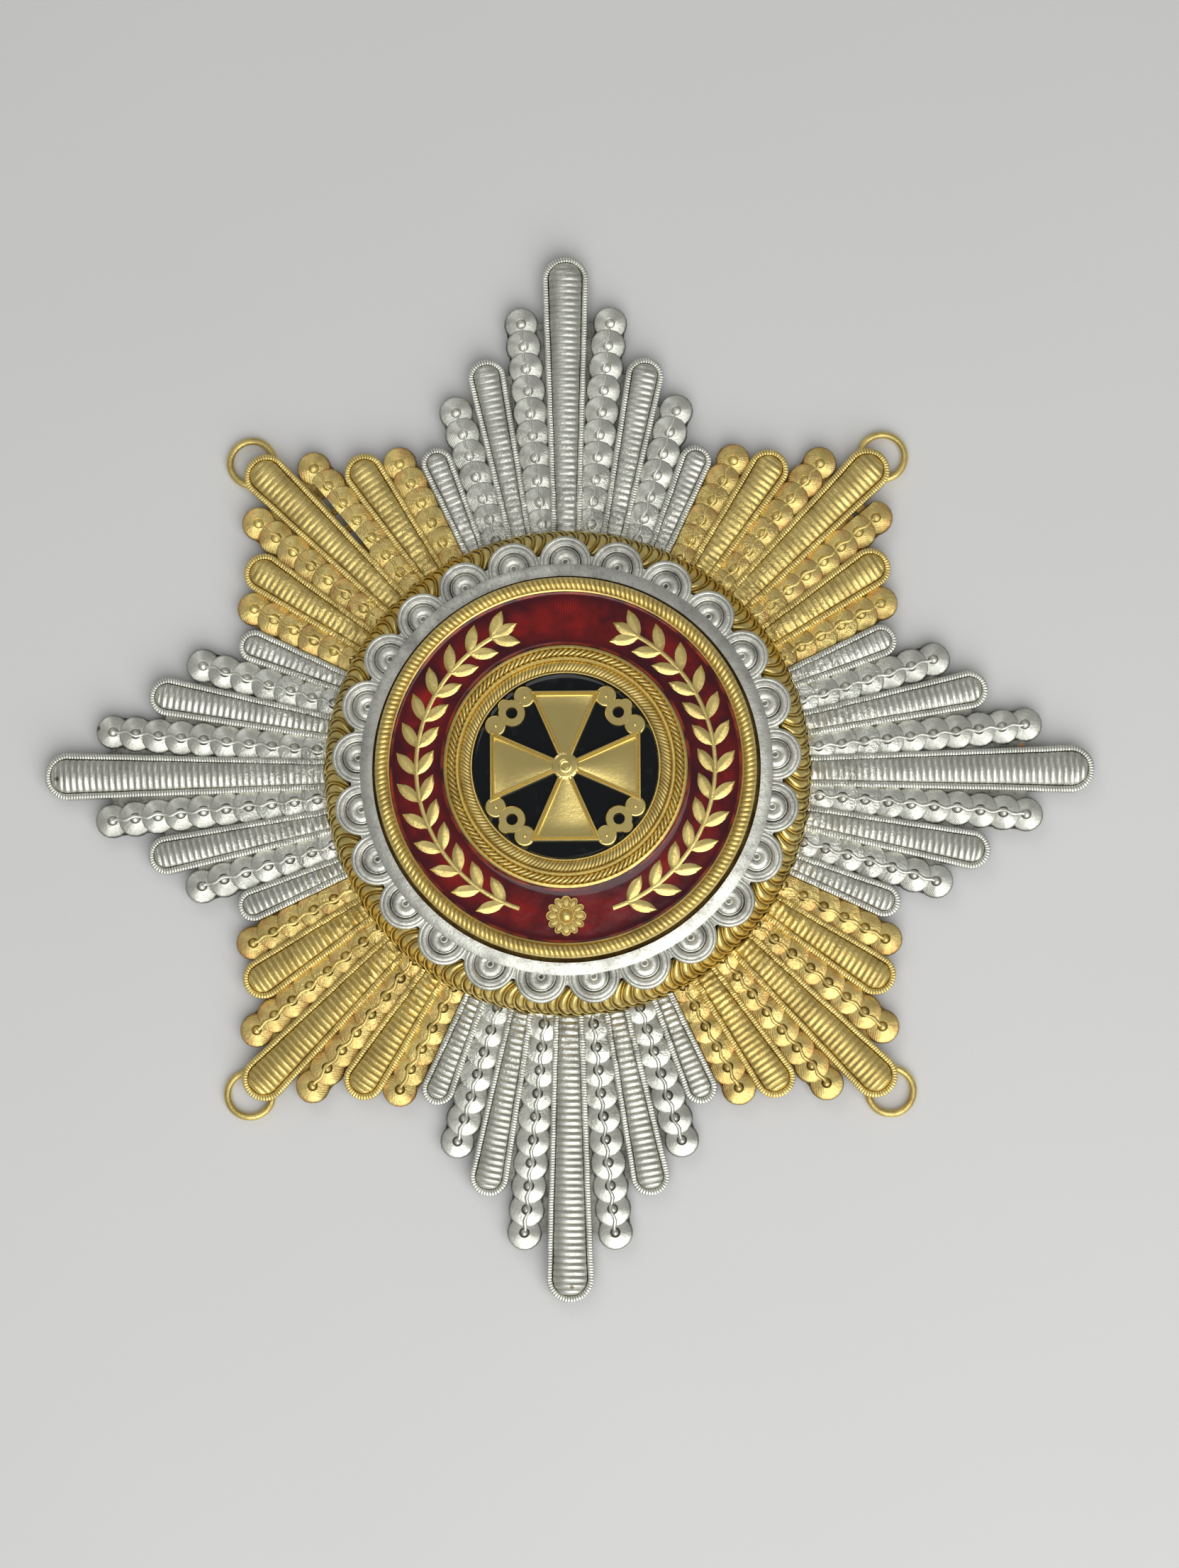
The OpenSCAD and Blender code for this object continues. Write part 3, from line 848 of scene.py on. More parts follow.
def bezel_whole(sizes):
    """Hollow drum with the ribbed bezel round the enamel"""
    whole = blank_part()
    under = FLOOR_Z - 0.9
    wall = CORD_OUT_R + 0.12
    body = lathe([
        (0.0, FLOOR_Z), (CORD_IN_R - 0.02, FLOOR_Z), (CORD_IN_R - 0.02, CORD_Z + 0.12),
        (CORD_IN_R + 0.12, CORD_Z + 0.2), (CORD_IN_R + 0.2, CORD_Z), (wall - 0.1, CORD_Z - 0.25),
        (wall, CORD_Z - 0.45), (wall, CORD_Z - 0.9), (wall, SHOULDER_Z), (DRUM_R, SHOULDER_Z),
        (DRUM_R, PLATE_BOTTOM), (HOLLOW_R, PLATE_BOTTOM), (HOLLOW_R, under), (0.0, under),
    ], 180, 0.05)
    # The outer wall below the cord is fully darkened: painted shadow in the gap between the bezel
    # and the silver band
    patina_and_shade = body.verts.layers.float["patina_and_shade"]
    for vert in body.verts:
        on_wall = math.hypot(vert.co.x, vert.co.y) > wall - 0.01
        if on_wall and SHOULDER_Z - 0.1 < vert.co.z < CORD_Z - 0.6:
            vert[patina_and_shade] = 1.0
    add_part(whole, body)
    middle = (CORD_IN_R + wall) / 2 + 0.05
    ribbed_torus(whole, middle, CORD_Z, 1.24, 0.57, sizes.bezel_ribs, -0.36, 0.17, soil=0.4)
    return whole


# Section of the ring between the enamels, from outside inwards: radius, height over the ropes'
# middle
INNER_RING_SECTION = (
    (INNER_R, 0.16), (INNER_R - 0.16, 0.28), (INNER_R - 0.24, 0.3), (INNER_R - 0.34, 0.2),
    (INNER_R - 0.38, 0.0), (10.58, 0.0), (10.52, 0.34), (10.42, 0.44), (10.28, 0.44),
    (10.18, 0.34), (10.13, 0.0), (BLACK_R + 0.2, 0.05), (BLACK_R + 0.16, 0.3),
    (BLACK_R + 0.04, 0.3), (BLACK_R, 0.12),
)


def inner_ring_whole(sizes):
    """Ring with two ropes between the red and the black enamel"""
    whole = blank_part()
    top = FLOOR_Z + 0.85
    upper = [(radius, top + rise) for radius, rise in INNER_RING_SECTION]
    foot = (BLACK_R, FLOOR_Z)
    add_part(whole, lathe([foot, (INNER_R, FLOOR_Z)] + upper + [foot], 144, 0.1))
    ribbed_torus(whole, 10.92, top, 0.74, 0.46, sizes.outer_rope_ribs, 0.8, 0.18)
    ribbed_torus(whole, 9.6, top, 1.08, 0.3, sizes.inner_rope_ribs, 0.9, 0.07, dull=0.3)
    return whole


# Profile of a scallop from its middle outwards: radius, height and patina
SCALLOP_PROFILE = (
    (0.0, 0.1, 0.8), (0.12, 0.1, 0.7), (0.2, 0.2, 0.3), (0.3, 0.23, 0.0), (0.4, 0.19, 0.4),
    (0.55, 0.26, 0.1), (0.8, 0.32, 0.0), (1.05, 0.28, 0.0), (1.22, 0.18, 0.2), (1.28, 0.13, 0.6),
    (1.34, 0.2, 0.0), (1.4, 0.18, 0.1), (1.46, 0.05, 0.9), (1.52, 0.07, 0.6), (1.6, 0.19, 0.0),
    (1.66, 0.21, 0.0), (1.72, 0.16, 0.3), (1.88, 0.2, 0.1), (2.06, 0.19, 0.1), (2.16, 0.15, 0.4),
    (2.24, 0.2, 0.0), (2.38, 0.2, 0.0), (2.48, 0.12, 0.0), (SCALLOP_R, -0.02, 0.5),
    (SCALLOP_R, -0.5, 1.0), (1.9, -0.5, 1.0), (0.0, -0.5, 1.0),
)
SCALLOP_SIDES = 44
# Outline of the small fillet between two scallops
FILLET_OUTLINE = (
    (-0.5, 20.0), (0.5, 20.0), (0.3, 20.5), (0.2, 20.82), (0.0, 20.76), (-0.2, 20.82),
    (-0.3, 20.5),
)


def scallop_part():
    """Scallop with raised arcs, cut off where the medallion's wall begins"""
    top = 0.6

    def place(column, row):
        radius, rise, patina_and_shade = SCALLOP_PROFILE[row]
        turn = round_angle(column, SCALLOP_SIDES)
        y = SCALLOP_RING_R + radius * math.sin(turn)
        return (radius * math.cos(turn), y, SHOULDER_Z + top + rise - 0.1), patina_and_shade

    part = shaped_part(SCALLOP_SIDES, len(SCALLOP_PROFILE) - 1, place)
    bmesh.ops.recalc_face_normals(part, faces=part.faces)
    trim(part, (0.0, BEZEL_R + 0.3, 0.0), (0.0, -1.0, 0.0))
    return part


def scalloped_whole(sizes):
    """Ring of scallops with a ridged band inside them"""
    whole = blank_part()
    for k in range(sizes.scallops):
        add_part(whole, scallop_part(), k * math.tau / sizes.scallops)
        fillet = prism(FILLET_OUTLINE, SHOULDER_Z + 0.06, SHOULDER_Z + 0.56)
        add_part(whole, fillet, (k + 0.5) * math.tau / sizes.scallops)
    inner = CORD_OUT_R + 0.45
    top = SHOULDER_Z + 0.6
    add_part(whole, lathe([
        (inner, SHOULDER_Z), (inner, top + 0.36), (inner + 0.07, top + 0.44),
        (inner + 0.2, top + 0.42), (BAND_R - 0.16, top + 0.36), (BAND_R - 0.1, top + 0.3),
        (BAND_R - 0.1, SHOULDER_Z), (inner, SHOULDER_Z),
    ], 180, 0.05))
    return whole


# Middle

LEAF_LENGTH = 2.9
LEAF_WIDTH = 1.15
# Angles of the garland in degrees: its first pair of leaves, the step to the next, how far a leaf
# leans off its branch, and where the stem begins and ends
LEAF_START = 30
LEAF_STEP = 10.5
LEAF_LEAN = 38
STEM_START = 24.2
STEM_END = 161.8
LEAF_PAIRS = 13
# Section of the stem: off its middle line and up
STEM_SECTION = ((-0.2, -0.5), (-0.2, 0.05), (-0.1, 0.12), (0.1, 0.12), (0.2, 0.05), (0.2, -0.5))
STEM_STEPS = 64
# Rings of a petal from its foot over the rim inwards: size, height and patina
PETAL_RINGS = (
    (1.0, -0.6, 0.5), (1.0, -0.04, 0.0), (0.93, 0.05, 0.0), (0.8, 0.05, 0.0), (0.68, -0.1, 0.6),
    (0.3, -0.06, 0.1),
)
PETALS = 12
PETAL_SIDES = 20


def leaf_part(turn):
    """Leaf with a raised middle rib, from the origin in one direction"""
    part = blank_part()
    across, along = 6, 8
    arc_r = (LEAF_LENGTH ** 2 + LEAF_WIDTH ** 2) / (4 * LEAF_WIDTH)

    def place(column, row):
        y = LEAF_LENGTH * row / along
        bow = math.sqrt(max(arc_r ** 2 - (y - LEAF_LENGTH / 2) ** 2, 0.0))
        half = max(bow - arc_r + LEAF_WIDTH / 2, 0.02)
        share = 2 * column / across - 1
        rise = 0.12 - 0.1 * abs(share) ** 3 + (0.05 if column == across // 2 else 0.0)
        return (share * half, y, rise), 0.0

    shaped_grid(part, across, along, place)
    close_below(part, -0.5)
    part.transform(Matrix.Rotation(turn, 4, "Z"))
    return part


def enamel_ring_whole():
    """Ring of enamel that rises inwards and climbs the metal walls a little"""
    inner, outer = INNER_R + GAP, CORD_IN_R - GAP
    half = (outer - inner) / 2
    steps = 28
    profile = [(inner, FLOOR_Z)]
    for k in range(steps + 1):
        share = math.sin(math.pi * (k / steps - 0.5))
        climb = math.exp(-(1 - abs(share)) * half / 0.16)
        height = ENAMEL_Z + ENAMEL_RISE * (1 - share) / 2 + 0.12 * climb
        profile.append(((inner + outer) / 2 + half * share, height))
    return lathe(profile + [(outer, FLOOR_Z), (inner, FLOOR_Z)], 220)


def black_disc_whole():
    """Disc of enamel that climbs the metal wall a little"""
    edge = BLACK_R - GAP
    profile = [(0.0, BLACK_Z), (4.0, BLACK_Z), (7.0, BLACK_Z)]
    for away in (1.2, 0.8, 0.55, 0.4, 0.28, 0.18, 0.1, 0.04, 0.0):
        profile.append((edge - away, BLACK_Z + 0.16 * math.exp(-away / 0.16)))
    return lathe(profile + [(edge, FLOOR_Z), (0.0, FLOOR_Z)], 160)


def garland_whole():
    """Two branches of leaves, each on its stem"""
    whole = blank_part()
    for mirror in (1, -1):
        for k in range(LEAF_PAIRS):
            around = mirror * math.radians(LEAF_START + LEAF_STEP * k)
            for side in (-1, 1):
                lean = math.radians(90 + side * LEAF_LEAN)
                add_leaf(whole, leaf_part(mirror * lean), around)
        tip = leaf_part(mirror * math.radians(90))
        add_leaf(whole, tip, mirror * math.radians(LEAF_START))
        stem = stem_part(mirror * math.radians(STEM_START), mirror * math.radians(STEM_END))
        stem.transform(Matrix.Translation((0.0, 0.0, GARLAND_Z)))
        settle_on_enamel(stem)
        add_part(whole, stem)
    return whole


def stem_part(start, stop):
    """Round stem of one branch between two clockwise angles"""
    def place(column, row):
        off, rise = STEM_SECTION[column % len(STEM_SECTION)]
        around = start + (stop - start) * row / STEM_STEPS
        return clock_point(GARLAND_R + off, around, rise), 0.0

    part = shaped_part(len(STEM_SECTION), STEM_STEPS, place)
    bmesh.ops.recalc_face_normals(part, faces=part.faces)
    return part


def settle_on_enamel(part):
    """Let a part follow the slope of the enamel"""
    slope = ENAMEL_RISE / (CORD_IN_R - INNER_R)
    for vert in part.verts:
        vert.co.z += slope * (GARLAND_R - math.hypot(vert.co.x, vert.co.y)) + 0.04


def add_leaf(whole, leaf, around):
    move = Matrix.Translation((0.0, GARLAND_R, GARLAND_Z))
    leaf.transform(Matrix.Rotation(-around, 4, "Z") @ move)
    settle_on_enamel(leaf)
    add_part(whole, leaf)


def petal_part(broad, top):
    """Cupped petal with a raised rim, pointing along +Y"""
    def place(column, row):
        size, rise, patina_and_shade = PETAL_RINGS[row]
        turn = round_angle(column, PETAL_SIDES)
        x = 0.5 * size * broad * math.cos(turn)
        y = 1.27 + 0.67 * size * math.sin(turn)
        return (x * (0.55 + 0.3 * (y - 0.7)), y, top + rise), patina_and_shade

    return shaped_part(PETAL_SIDES, len(PETAL_RINGS) - 1, place)


def rosette_whole():
    """Ring of broad and narrow petals round a boss, on a low base"""
    whole = blank_part()
    top = GARLAND_Z + 0.35
    foot = top - 0.6
    for k in range(PETALS):
        add_part(whole, petal_part(1.3 if k % 3 == 0 else 0.98, top), k * math.tau / PETALS)
    base = [(0.0, top - 0.12), (1.5, top - 0.12), (1.55, top - 0.2), (1.55, foot), (0.0, foot)]
    add_part(whole, lathe(base, 36, 0.5))
    dome = [(0.6 * math.sin(a), top - 0.18 + 0.5 * math.cos(a)) for a in (0.3, 0.6, 0.9, 1.2, 1.5)]
    add_part(whole, lathe([(0.0, top + 0.32)] + dome + [(0.6, foot), (0.0, foot)], 24))
    whole.transform(Matrix.Translation((0.0, -GARLAND_R, 0.0)))
    return whole


# Cross: an arm's width at its start, its start and end, and half its width at the end
ARM_NECK = 1.1
ARM_START = 0.65
ARM_END = 7.2
ARM_HALF = 3.441
# Steps from an arm's outline to its sunk panel: how far inwards and how far up
ARM_INSETS = ((0.04, 0.07), (0.15, 0.01), (0.07, -0.12), (0.07, 0.12), (0.12, 0.0), (0.05, -0.14))
HUB_PROFILE = (
    (0.0, 0.69), (1.1, 0.69), (1.18, 0.68), (1.36, 0.6), (1.4, 0.5), (1.4, 0.0), (0.0, 0.0),
)
BUTTON_PROFILE = (
    (0.0, 0.66), (0.28, 0.67), (0.38, 0.74), (0.56, 0.75), (0.7, 0.68), (0.7, 0.3), (0.0, 0.3),
)
# Ornament between two arms: its middle along both axes, the radii of its hole and its disc, how
# far from the centre its neck ends and half its width
DISC_MIDDLE = 0.82 * 8.78 * math.sqrt(0.5)
DISC_HOLE_R = 0.5
DISC_R = 1.263
NECK_END = 8.08
NECK_HALF = 0.7
DISC_SIDES = 96
# Its section: on the outline or at the hole, how far beside that edge, height and patina
DISC_SECTION = (
    (False, 0.0, 0.0, 0.8), (False, 0.0, 0.5, 0.3), (False, 0.06, 0.58, 0.0),
    (False, 0.12, 0.58, 0.0), (True, -0.12, 0.58, 0.0), (True, -0.06, 0.58, 0.0),
    (True, 0.0, 0.52, 0.0), (True, 0.0, 0.0, 0.6),
)
LOBE_PLACES = ((3.898, 6.65, 0.0), (6.65, 3.898, 0.0))
LOBE_PROFILE = (
    (0.0, 0.52), (0.84, 0.52), (0.9, 0.52), (0.97, 0.48), (1.0, 0.4), (1.0, 0.0), (0.0, 0.0),
)
BEAD_PROFILE = ((0.0, 0.66), (0.1, 0.64), (0.18, 0.57), (0.2, 0.45), (0.0, 0.45))


def cross_arm_part():
    """Arm of the cross: a sunk panel inside raised rims"""
    part = prism([(-ARM_NECK / 2, ARM_START), (ARM_NECK / 2, ARM_START), (ARM_HALF, ARM_END),
                  (-ARM_HALF, ARM_END)], 0.0, 0.6)
    panel = max(part.faces, key=lambda face: face.calc_center_median().z)
    for thickness, depth in ARM_INSETS:
        bmesh.ops.inset_region(part, faces=[panel], thickness=thickness, depth=depth,
                               use_even_offset=True)
    shape_panel(part, panel)
    return part


def shape_panel(part, panel):
    """Let a panel fall outwards and towards both sides, and rise at its outer end"""
    spread = (ARM_HALF - ARM_NECK / 2) / (ARM_END - ARM_START)
    level = panel.verts[0].co.z
    end = max(vert.co.y for vert in panel.verts)
    bmesh.ops.subdivide_edges(part, edges=panel.edges[:], cuts=9, use_grid_fill=True)
    for vert in part.verts:
        x, y = vert.co.x, vert.co.y
        if abs(vert.co.z - level) < 0.001:
            share = x / (0.55 + spread * (y - ARM_START))
            vert.co.z -= 0.07 * (y - ARM_START - 0.4) + 0.12 * share * share
            vert.co.z += 0.1 * max((y - end + 1.3) / 1.3, 0.0) ** 2


def cross_whole():
    """Four arms with an ornament between each two, a hub and a button on it"""
    whole = blank_part()
    for k in range(4):
        add_part(whole, cross_arm_part(), k * math.pi / 2)
        add_part(whole, ornament_part(), k * math.pi / 2)
    add_part(whole, lathe(HUB_PROFILE, 8), math.pi / 8)
    add_part(whole, lathe(BUTTON_PROFILE, 32))
    whole.transform(Matrix.Translation((0.0, 0.0, BLACK_Z)))
    return whole


def ornament_edge(turn):
    """Distance from the hole's middle to the outline of disc and neck in one direction"""
    tip = NECK_END - DISC_MIDDLE * math.sqrt(2)
    along, off = tip * math.cos(turn - math.pi / 4), tip * math.sin(turn - math.pi / 4)
    if abs(off) < NECK_HALF:
        return max(DISC_R, along + math.sqrt(NECK_HALF ** 2 - off * off))
    return DISC_R


def ornament_part():
    """Lobes round a pierced disc, between two arms"""
    def place(column, row):
        turn = round_angle(column, DISC_SIDES)
        outer, step, z, patina_and_shade = DISC_SECTION[row % len(DISC_SECTION)]
        radius = (ornament_edge(turn) if outer else DISC_HOLE_R) + step
        x, y = DISC_MIDDLE + radius * math.cos(turn), DISC_MIDDLE + radius * math.sin(turn)
        return (x, y, z), patina_and_shade

    whole = blank_part()
    add_part(whole, shaped_part(DISC_SIDES, len(DISC_SECTION), place))
    for spot in LOBE_PLACES:
        add_part(whole, lathe(LOBE_PROFILE, 32), shift=spot)
        add_part(whole, lathe(BEAD_PROFILE, 12), shift=spot)
    return whole


# What a user can change

class StarSizes(bpy.types.PropertyGroup):
    cord_width: bpy.props.FloatProperty(
        name="Cord width", description="Width of the cord along a ray's rim",
        default=0.6 * MM, unit="LENGTH", precision=5)
    cord_pitch: bpy.props.FloatProperty(
        name="Cord pitch", description="Spacing of that cord's ribs",
        default=0.26 * MM, unit="LENGTH", precision=5)
    rib_pitch: bpy.props.FloatProperty(
        name="Rib pitch", description="Spacing of the ribs across a lane",
        default=0.62 * MM, unit="LENGTH", precision=5)
    rib_height: bpy.props.FloatProperty(
        name="Rib height", description="Height of the ribs across a lane",
        default=0.125 * MM, unit="LENGTH", precision=5)
    coils: bpy.props.IntProperty(
        name="Coils", description="Coils of the rope ring", default=136, min=60)
    scallops: bpy.props.IntProperty(
        name="Scallops", description="Scallops round the medallion", default=25, min=12)
    bezel_ribs: bpy.props.IntProperty(
        name="Bezel ribs", description="Ribs of the cord round the red enamel",
        default=227, min=60)
    outer_rope_ribs: bpy.props.IntProperty(
        name="Outer rope ribs", description="Ribs of the inner ring's outer rope",
        default=125, min=40)
    inner_rope_ribs: bpy.props.IntProperty(
        name="Inner rope ribs", description="Ribs of the inner ring's inner rope",
        default=168, min=40)


class StarColours(bpy.types.PropertyGroup):
    silver: bpy.props.FloatVectorProperty(
        name="Silver", description="Colour of the clean silver",
        subtype="COLOR", default=(0.88, 0.885, 0.79), min=0, max=1)
    gilt: bpy.props.FloatVectorProperty(
        name="Gilt", description="Colour of the clean gilding",
        subtype="COLOR", default=(1.0, 0.8, 0.3), min=0, max=1)
    red: bpy.props.FloatVectorProperty(
        name="Red enamel", description="Colour of the red enamel where its ground shines through",
        subtype="COLOR", default=(0.24, 0.009, 0.007), min=0, max=1)
    red_depth: bpy.props.FloatVectorProperty(
        name="Deep red enamel", description="Colour of the red enamel where it is thick",
        subtype="COLOR", default=(0.045, 0.003, 0.008), min=0, max=1)
    red_edge: bpy.props.FloatVectorProperty(
        name="Enamel edge", description="Colour of the red enamel right at the metal",
        subtype="COLOR", default=(0.5, 0.07, 0.012), min=0, max=1)
    black: bpy.props.FloatVectorProperty(
        name="Black enamel", description="Colour of the black enamel",
        subtype="COLOR", default=(0.004, 0.005, 0.006), min=0, max=1)
    floor: bpy.props.FloatVectorProperty(
        name="Floor", description="Colour of the surface under the star",
        subtype="COLOR", default=(0.85, 0.85, 0.84), min=0, max=1)


# Pieces

# Marks on the silver arms, in millimetres: middle, radius and colour
SILVER_MARKS = (
    (-10.6, 47.6, 1.1, (0.75, 0.55, 0.2)), (-9.6, 37.0, 0.5, (0.75, 0.55, 0.2)),
    (-49.7, -0.3, 0.35, (0.12, 0.08, 0.04)), (-45.9, 4.7, 0.4, (0.14, 0.1, 0.05)),
    (44.1, 2.3, 0.35, (0.5, 0.22, 0.06)), (0.2, -49.5, 0.3, (0.2, 0.15, 0.08)),
)
# Colours of each metal where its patina and painted shade darken it
SILVER_SHADE = (0.085, 0.082, 0.072)
RING_SHADE = (0.08, 0.078, 0.07)
GILT_SHADE = (0.2, 0.12, 0.03)
GILT_BLUSH = (0.95, 0.56, 0.2)


def gilt_finish(context, name, **settings):
    return metal(name, context.scene.star_colours.gilt, GILT_SHADE, **settings)


class BuildBack(bpy.types.Operator):
    """Give the plain disc behind the star its gilding"""
    bl_idname = "breast_star.back"
    bl_label = "Back disc"

    def execute(self, context):
        dress_node("back_disc", gilt_finish(context, "gilt back"))
        return {"FINISHED"}


class BuildSilverArms(bpy.types.Operator):
    """Build the four silver arms of ribbed rays and strands of sequins"""
    bl_idname = "breast_star.silver_arms"
    bl_label = "Silver arms"

    def execute(self, context):
        finish = metal("worn silver", context.scene.star_colours.silver, SILVER_SHADE,
                       hatch=0.33, marks=SILVER_MARKS)
        for k, side in enumerate(("top", "right", "bottom", "left")):
            whole = lane_group(SILVER_LANES, k * math.pi / 2, context.scene.star_sizes)
            weather(whole, 0.12)
            finish_piece("silver_rays_" + side, whole, finish,
                         ["silver_arm_" + side])
        return {"FINISHED"}


class BuildGoldFans(bpy.types.Operator):
    """Build the four gilt fans with their sewing loops"""
    bl_idname = "breast_star.gold_fans"
    bl_label = "Gilt fans"

    def execute(self, context):
        finish = gilt_finish(context, "worn gilding",
                             hatch=0.6, wear=0.7, grain=0.6, blush=GILT_BLUSH)
        for k, side in enumerate(("top_right", "bottom_right", "bottom_left", "top_left")):
            turn = math.pi / 4 + k * math.pi / 2
            holes = FAN_HOLES.get(side, ())
            whole = lane_group(GOLD_LANES, turn, context.scene.star_sizes, holes)
            add_part(whole, loop_part(), turn)
            weather(whole, 0.2)
            finish_piece("gilt_rays_" + side, whole, finish, ["gold_fan_" + side])
        return {"FINISHED"}


class BuildRope(bpy.types.Operator):
    """Build the coiled rope round the medallion"""
    bl_idname = "breast_star.rope"
    bl_label = "Rope ring"

    def execute(self, context):
        finish = gilt_finish(context, "gilt rope", rough=0.3, grain=0.3)
        whole = rope_whole(context.scene.star_sizes.coils)
        finish_piece("coiled_rope", whole, finish, ["rope_ring"])
        return {"FINISHED"}


class BuildBezel(bpy.types.Operator):
    """Build the medallion's drum with its ribbed bezel"""
    bl_idname = "breast_star.bezel"
    bl_label = "Bezel"

    def execute(self, context):
        finish = gilt_finish(context, "gilt bezel")
        whole = bezel_whole(context.scene.star_sizes)
        finish_piece("ribbed_bezel", whole, finish, ["medallion_body"])
        return {"FINISHED"}


class BuildScallops(bpy.types.Operator):
    """Build the ring of silver scallops"""
    bl_idname = "breast_star.scallops"
    bl_label = "Scalloped ring"

    def execute(self, context):
        finish = metal("grey silver", context.scene.star_colours.silver, RING_SHADE, wear=0.8)
        whole = scalloped_whole(context.scene.star_sizes)
        finish_piece("scallops", whole, finish, ["scalloped_ring"])
        return {"FINISHED"}


class BuildEnamel(bpy.types.Operator):
    """Build the ring of red enamel and the disc of black enamel"""
    bl_idname = "breast_star.enamel"
    bl_label = "Enamels"

    def execute(self, context):
        red = red_enamel(context.scene.star_colours)
        finish_piece("red_enamel_ring", enamel_ring_whole(), red, ["enamel_ring"])
        black = black_enamel(context.scene.star_colours)
        finish_piece("black_enamel_disc", black_disc_whole(), black,
                     ["centre_disc"])
        return {"FINISHED"}


class BuildGarland(bpy.types.Operator):
    """Build the garland of leaves in the red enamel"""
    bl_idname = "breast_star.garland"
    bl_label = "Garland"

    def execute(self, context):
        finish = gilt_finish(context, "gilt leaves")
        finish_piece("garland_leaves", garland_whole(), finish, ["garland"])
        return {"FINISHED"}


class BuildRosette(bpy.types.Operator):
    """Build the rosette at the foot of the garland"""
    bl_idname = "breast_star.rosette"
    bl_label = "Rosette"

    def execute(self, context):
        finish = gilt_finish(context, "gilt rosette")
        finish_piece("rosette_flower", rosette_whole(), finish, ["rosette"])
        return {"FINISHED"}


class BuildInnerRing(bpy.types.Operator):
    """Build the ring of two ropes round the black enamel"""
    bl_idname = "breast_star.inner_ring"
    bl_label = "Inner ring"

    def execute(self, context):
        finish = gilt_finish(context, "gilt ropes")
        whole = inner_ring_whole(context.scene.star_sizes)
        finish_piece("double_rope_ring", whole, finish, ["inner_ring"])
        return {"FINISHED"}


class BuildCross(bpy.types.Operator):
    """Build the cross with its corner ornaments"""
    bl_idname = "breast_star.cross"
    bl_label = "Cross"

    def execute(self, context):
        finish = gilt_finish(context, "satin gilding",
                             rough=0.22, grain=0.12, wear=0.25)
        finish_piece("cross_with_ornaments", cross_whole(), finish, ["cross"])
        return {"FINISHED"}


# Stage

# Soft lights that face the star: name, place, width, depth and power
SOFTBOXES = (
    ("near softbox", (0.098, -0.272, 0.345), 0.5, 0.6, 1.7),
    ("far softbox", (-0.25, 0.45, 0.6), 0.4, 0.3, 0.35),
)
WORLD_COLOUR = (0.5, 0.5, 0.5, 1.0)
WORLD_STRENGTH = 0.5
# The photograph's camera: its angles in degrees, how far off it stands in metres, the point of
# the star that it looks at in millimetres, and its focal length as a share of the picture's height
CAMERA_AZIMUTH = 15.857
CAMERA_ELEVATION = 84.481
CAMERA_ROLL = -16.238
CAMERA_DISTANCE = 0.34607
CAMERA_TARGET = (2.071, -0.965, 0.0)
FOCAL_SHARE = 5000 / 2212
SENSOR_HEIGHT = 36.0


def softbox(name, place, width, depth, power):
    """Large soft light that faces the star"""
    light = bpy.data.lights.new(name, "AREA")
    light.shape = "RECTANGLE"
    light.size = width
    light.size_y = depth
    light.energy = power
    lamp = bpy.data.objects.new(name, light)
    lamp.location = place
    lamp.rotation_euler = (-Vector(place)).to_track_quat("-Z", "Y").to_euler()
    bpy.context.scene.collection.objects.link(lamp)


def photo_camera():
    """Camera at the photograph's angle"""
    azimuth, elevation = math.radians(CAMERA_AZIMUTH), math.radians(CAMERA_ELEVATION)
    roll = math.radians(CAMERA_ROLL)
    back = Vector((math.sin(azimuth) * math.cos(elevation),
                   -math.cos(azimuth) * math.cos(elevation), math.sin(elevation)))
    level = Vector((0, 0, 1)).cross(back).normalized()
    upright = back.cross(level)
    right = math.cos(roll) * level + math.sin(roll) * upright
    up = math.cos(roll) * upright - math.sin(roll) * level
    place = Vector(CAMERA_TARGET) * MM + back * CAMERA_DISTANCE
    view = bpy.data.cameras.new("camera")
    view.sensor_width = SENSOR_HEIGHT
    view.lens = SENSOR_HEIGHT * FOCAL_SHARE
    view.clip_start = 0.01
    camera = bpy.data.objects.new("camera", view)
    camera.matrix_world = Matrix((
        (right.x, up.x, back.x, place.x),
        (right.y, up.y, back.y, place.y),
        (right.z, up.z, back.z, place.z),
        (0, 0, 0, 1),
    ))
    bpy.context.scene.collection.objects.link(camera)
    bpy.context.scene.camera = camera


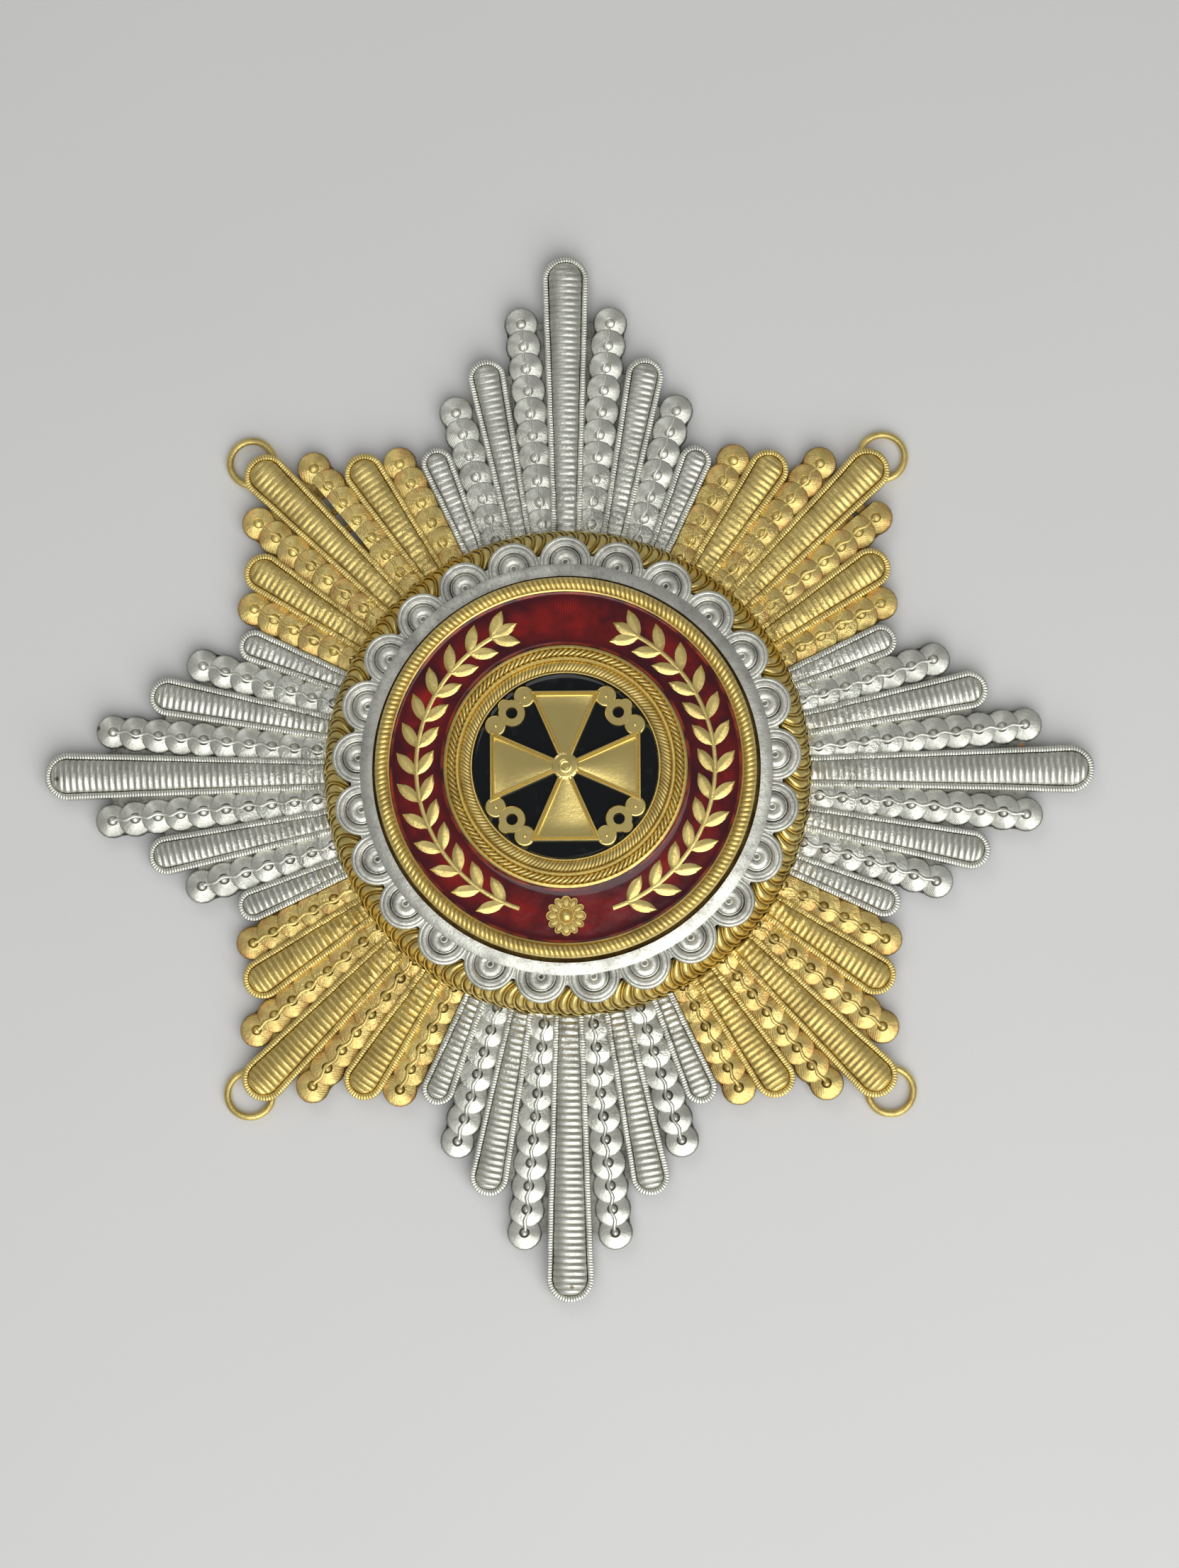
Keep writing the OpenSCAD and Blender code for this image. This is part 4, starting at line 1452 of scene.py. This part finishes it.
class BuildStage(bpy.types.Operator):
    """Set up the floor, the lights and the camera"""
    bl_idname = "breast_star.stage"
    bl_label = "Stage"

    def execute(self, context):
        bm = bmesh.new()
        bmesh.ops.create_grid(bm, x_segments=4, y_segments=4, size=0.6)
        mesh = bpy.data.meshes.new("floor")
        bm.to_mesh(mesh)
        bm.free()
        floor = bpy.data.objects.new("floor", mesh)
        context.scene.collection.objects.link(floor)
        finish = Finish("pale floor")
        colour = context.scene.star_colours.floor
        finish.set(
            Base_Color=finish.mix(finish.noise(30.0, 2.0), rgba(colour, 0.97), rgba(colour)),
            Roughness=0.7,
            Normal=finish.bump(finish.noise(2500.0, 2.0), 0.05, 0.0002),
        )
        mesh.materials.append(finish.material)
        context.scene.view_settings.view_transform = "Standard"
        for row in SOFTBOXES:
            softbox(*row)
        world = bpy.data.worlds.new("studio")
        world.use_nodes = True
        background = world.node_tree.nodes["Background"]
        background.inputs["Color"].default_value = WORLD_COLOUR
        background.inputs["Strength"].default_value = WORLD_STRENGTH
        context.scene.world = world
        photo_camera()
        return {"FINISHED"}


OPERATORS = (
    BuildBack, BuildSilverArms, BuildGoldFans, BuildRope, BuildBezel, BuildScallops, BuildEnamel,
    BuildGarland, BuildRosette, BuildInnerRing, BuildCross, BuildStage,
)


class StarPanel(bpy.types.Panel):
    """Lists the steps and the values of the star"""
    bl_idname = "VIEW3D_PT_breast_star"
    bl_label = "Breast star"
    bl_space_type = "VIEW_3D"
    bl_region_type = "UI"
    bl_category = "Breast star"

    def draw(self, context):
        for group in (context.scene.star_sizes, context.scene.star_colours):
            for name in group.__annotations__:
                self.layout.prop(group, name)
        for operator in OPERATORS:
            self.layout.operator(operator.bl_idname)


CLASSES = (StarSizes, StarColours) + OPERATORS + (StarPanel,)


def register():
    for item in CLASSES:
        bpy.utils.register_class(item)
    bpy.types.Scene.star_sizes = bpy.props.PointerProperty(type=StarSizes)
    bpy.types.Scene.star_colours = bpy.props.PointerProperty(type=StarColours)


def unregister():
    del bpy.types.Scene.star_colours
    del bpy.types.Scene.star_sizes
    for item in reversed(CLASSES):
        bpy.utils.unregister_class(item)


def main():
    register()
    for operator in OPERATORS:
        group, name = operator.bl_idname.split(".")
        getattr(getattr(bpy.ops, group), name)()


if __name__ == "__main__":
    main()
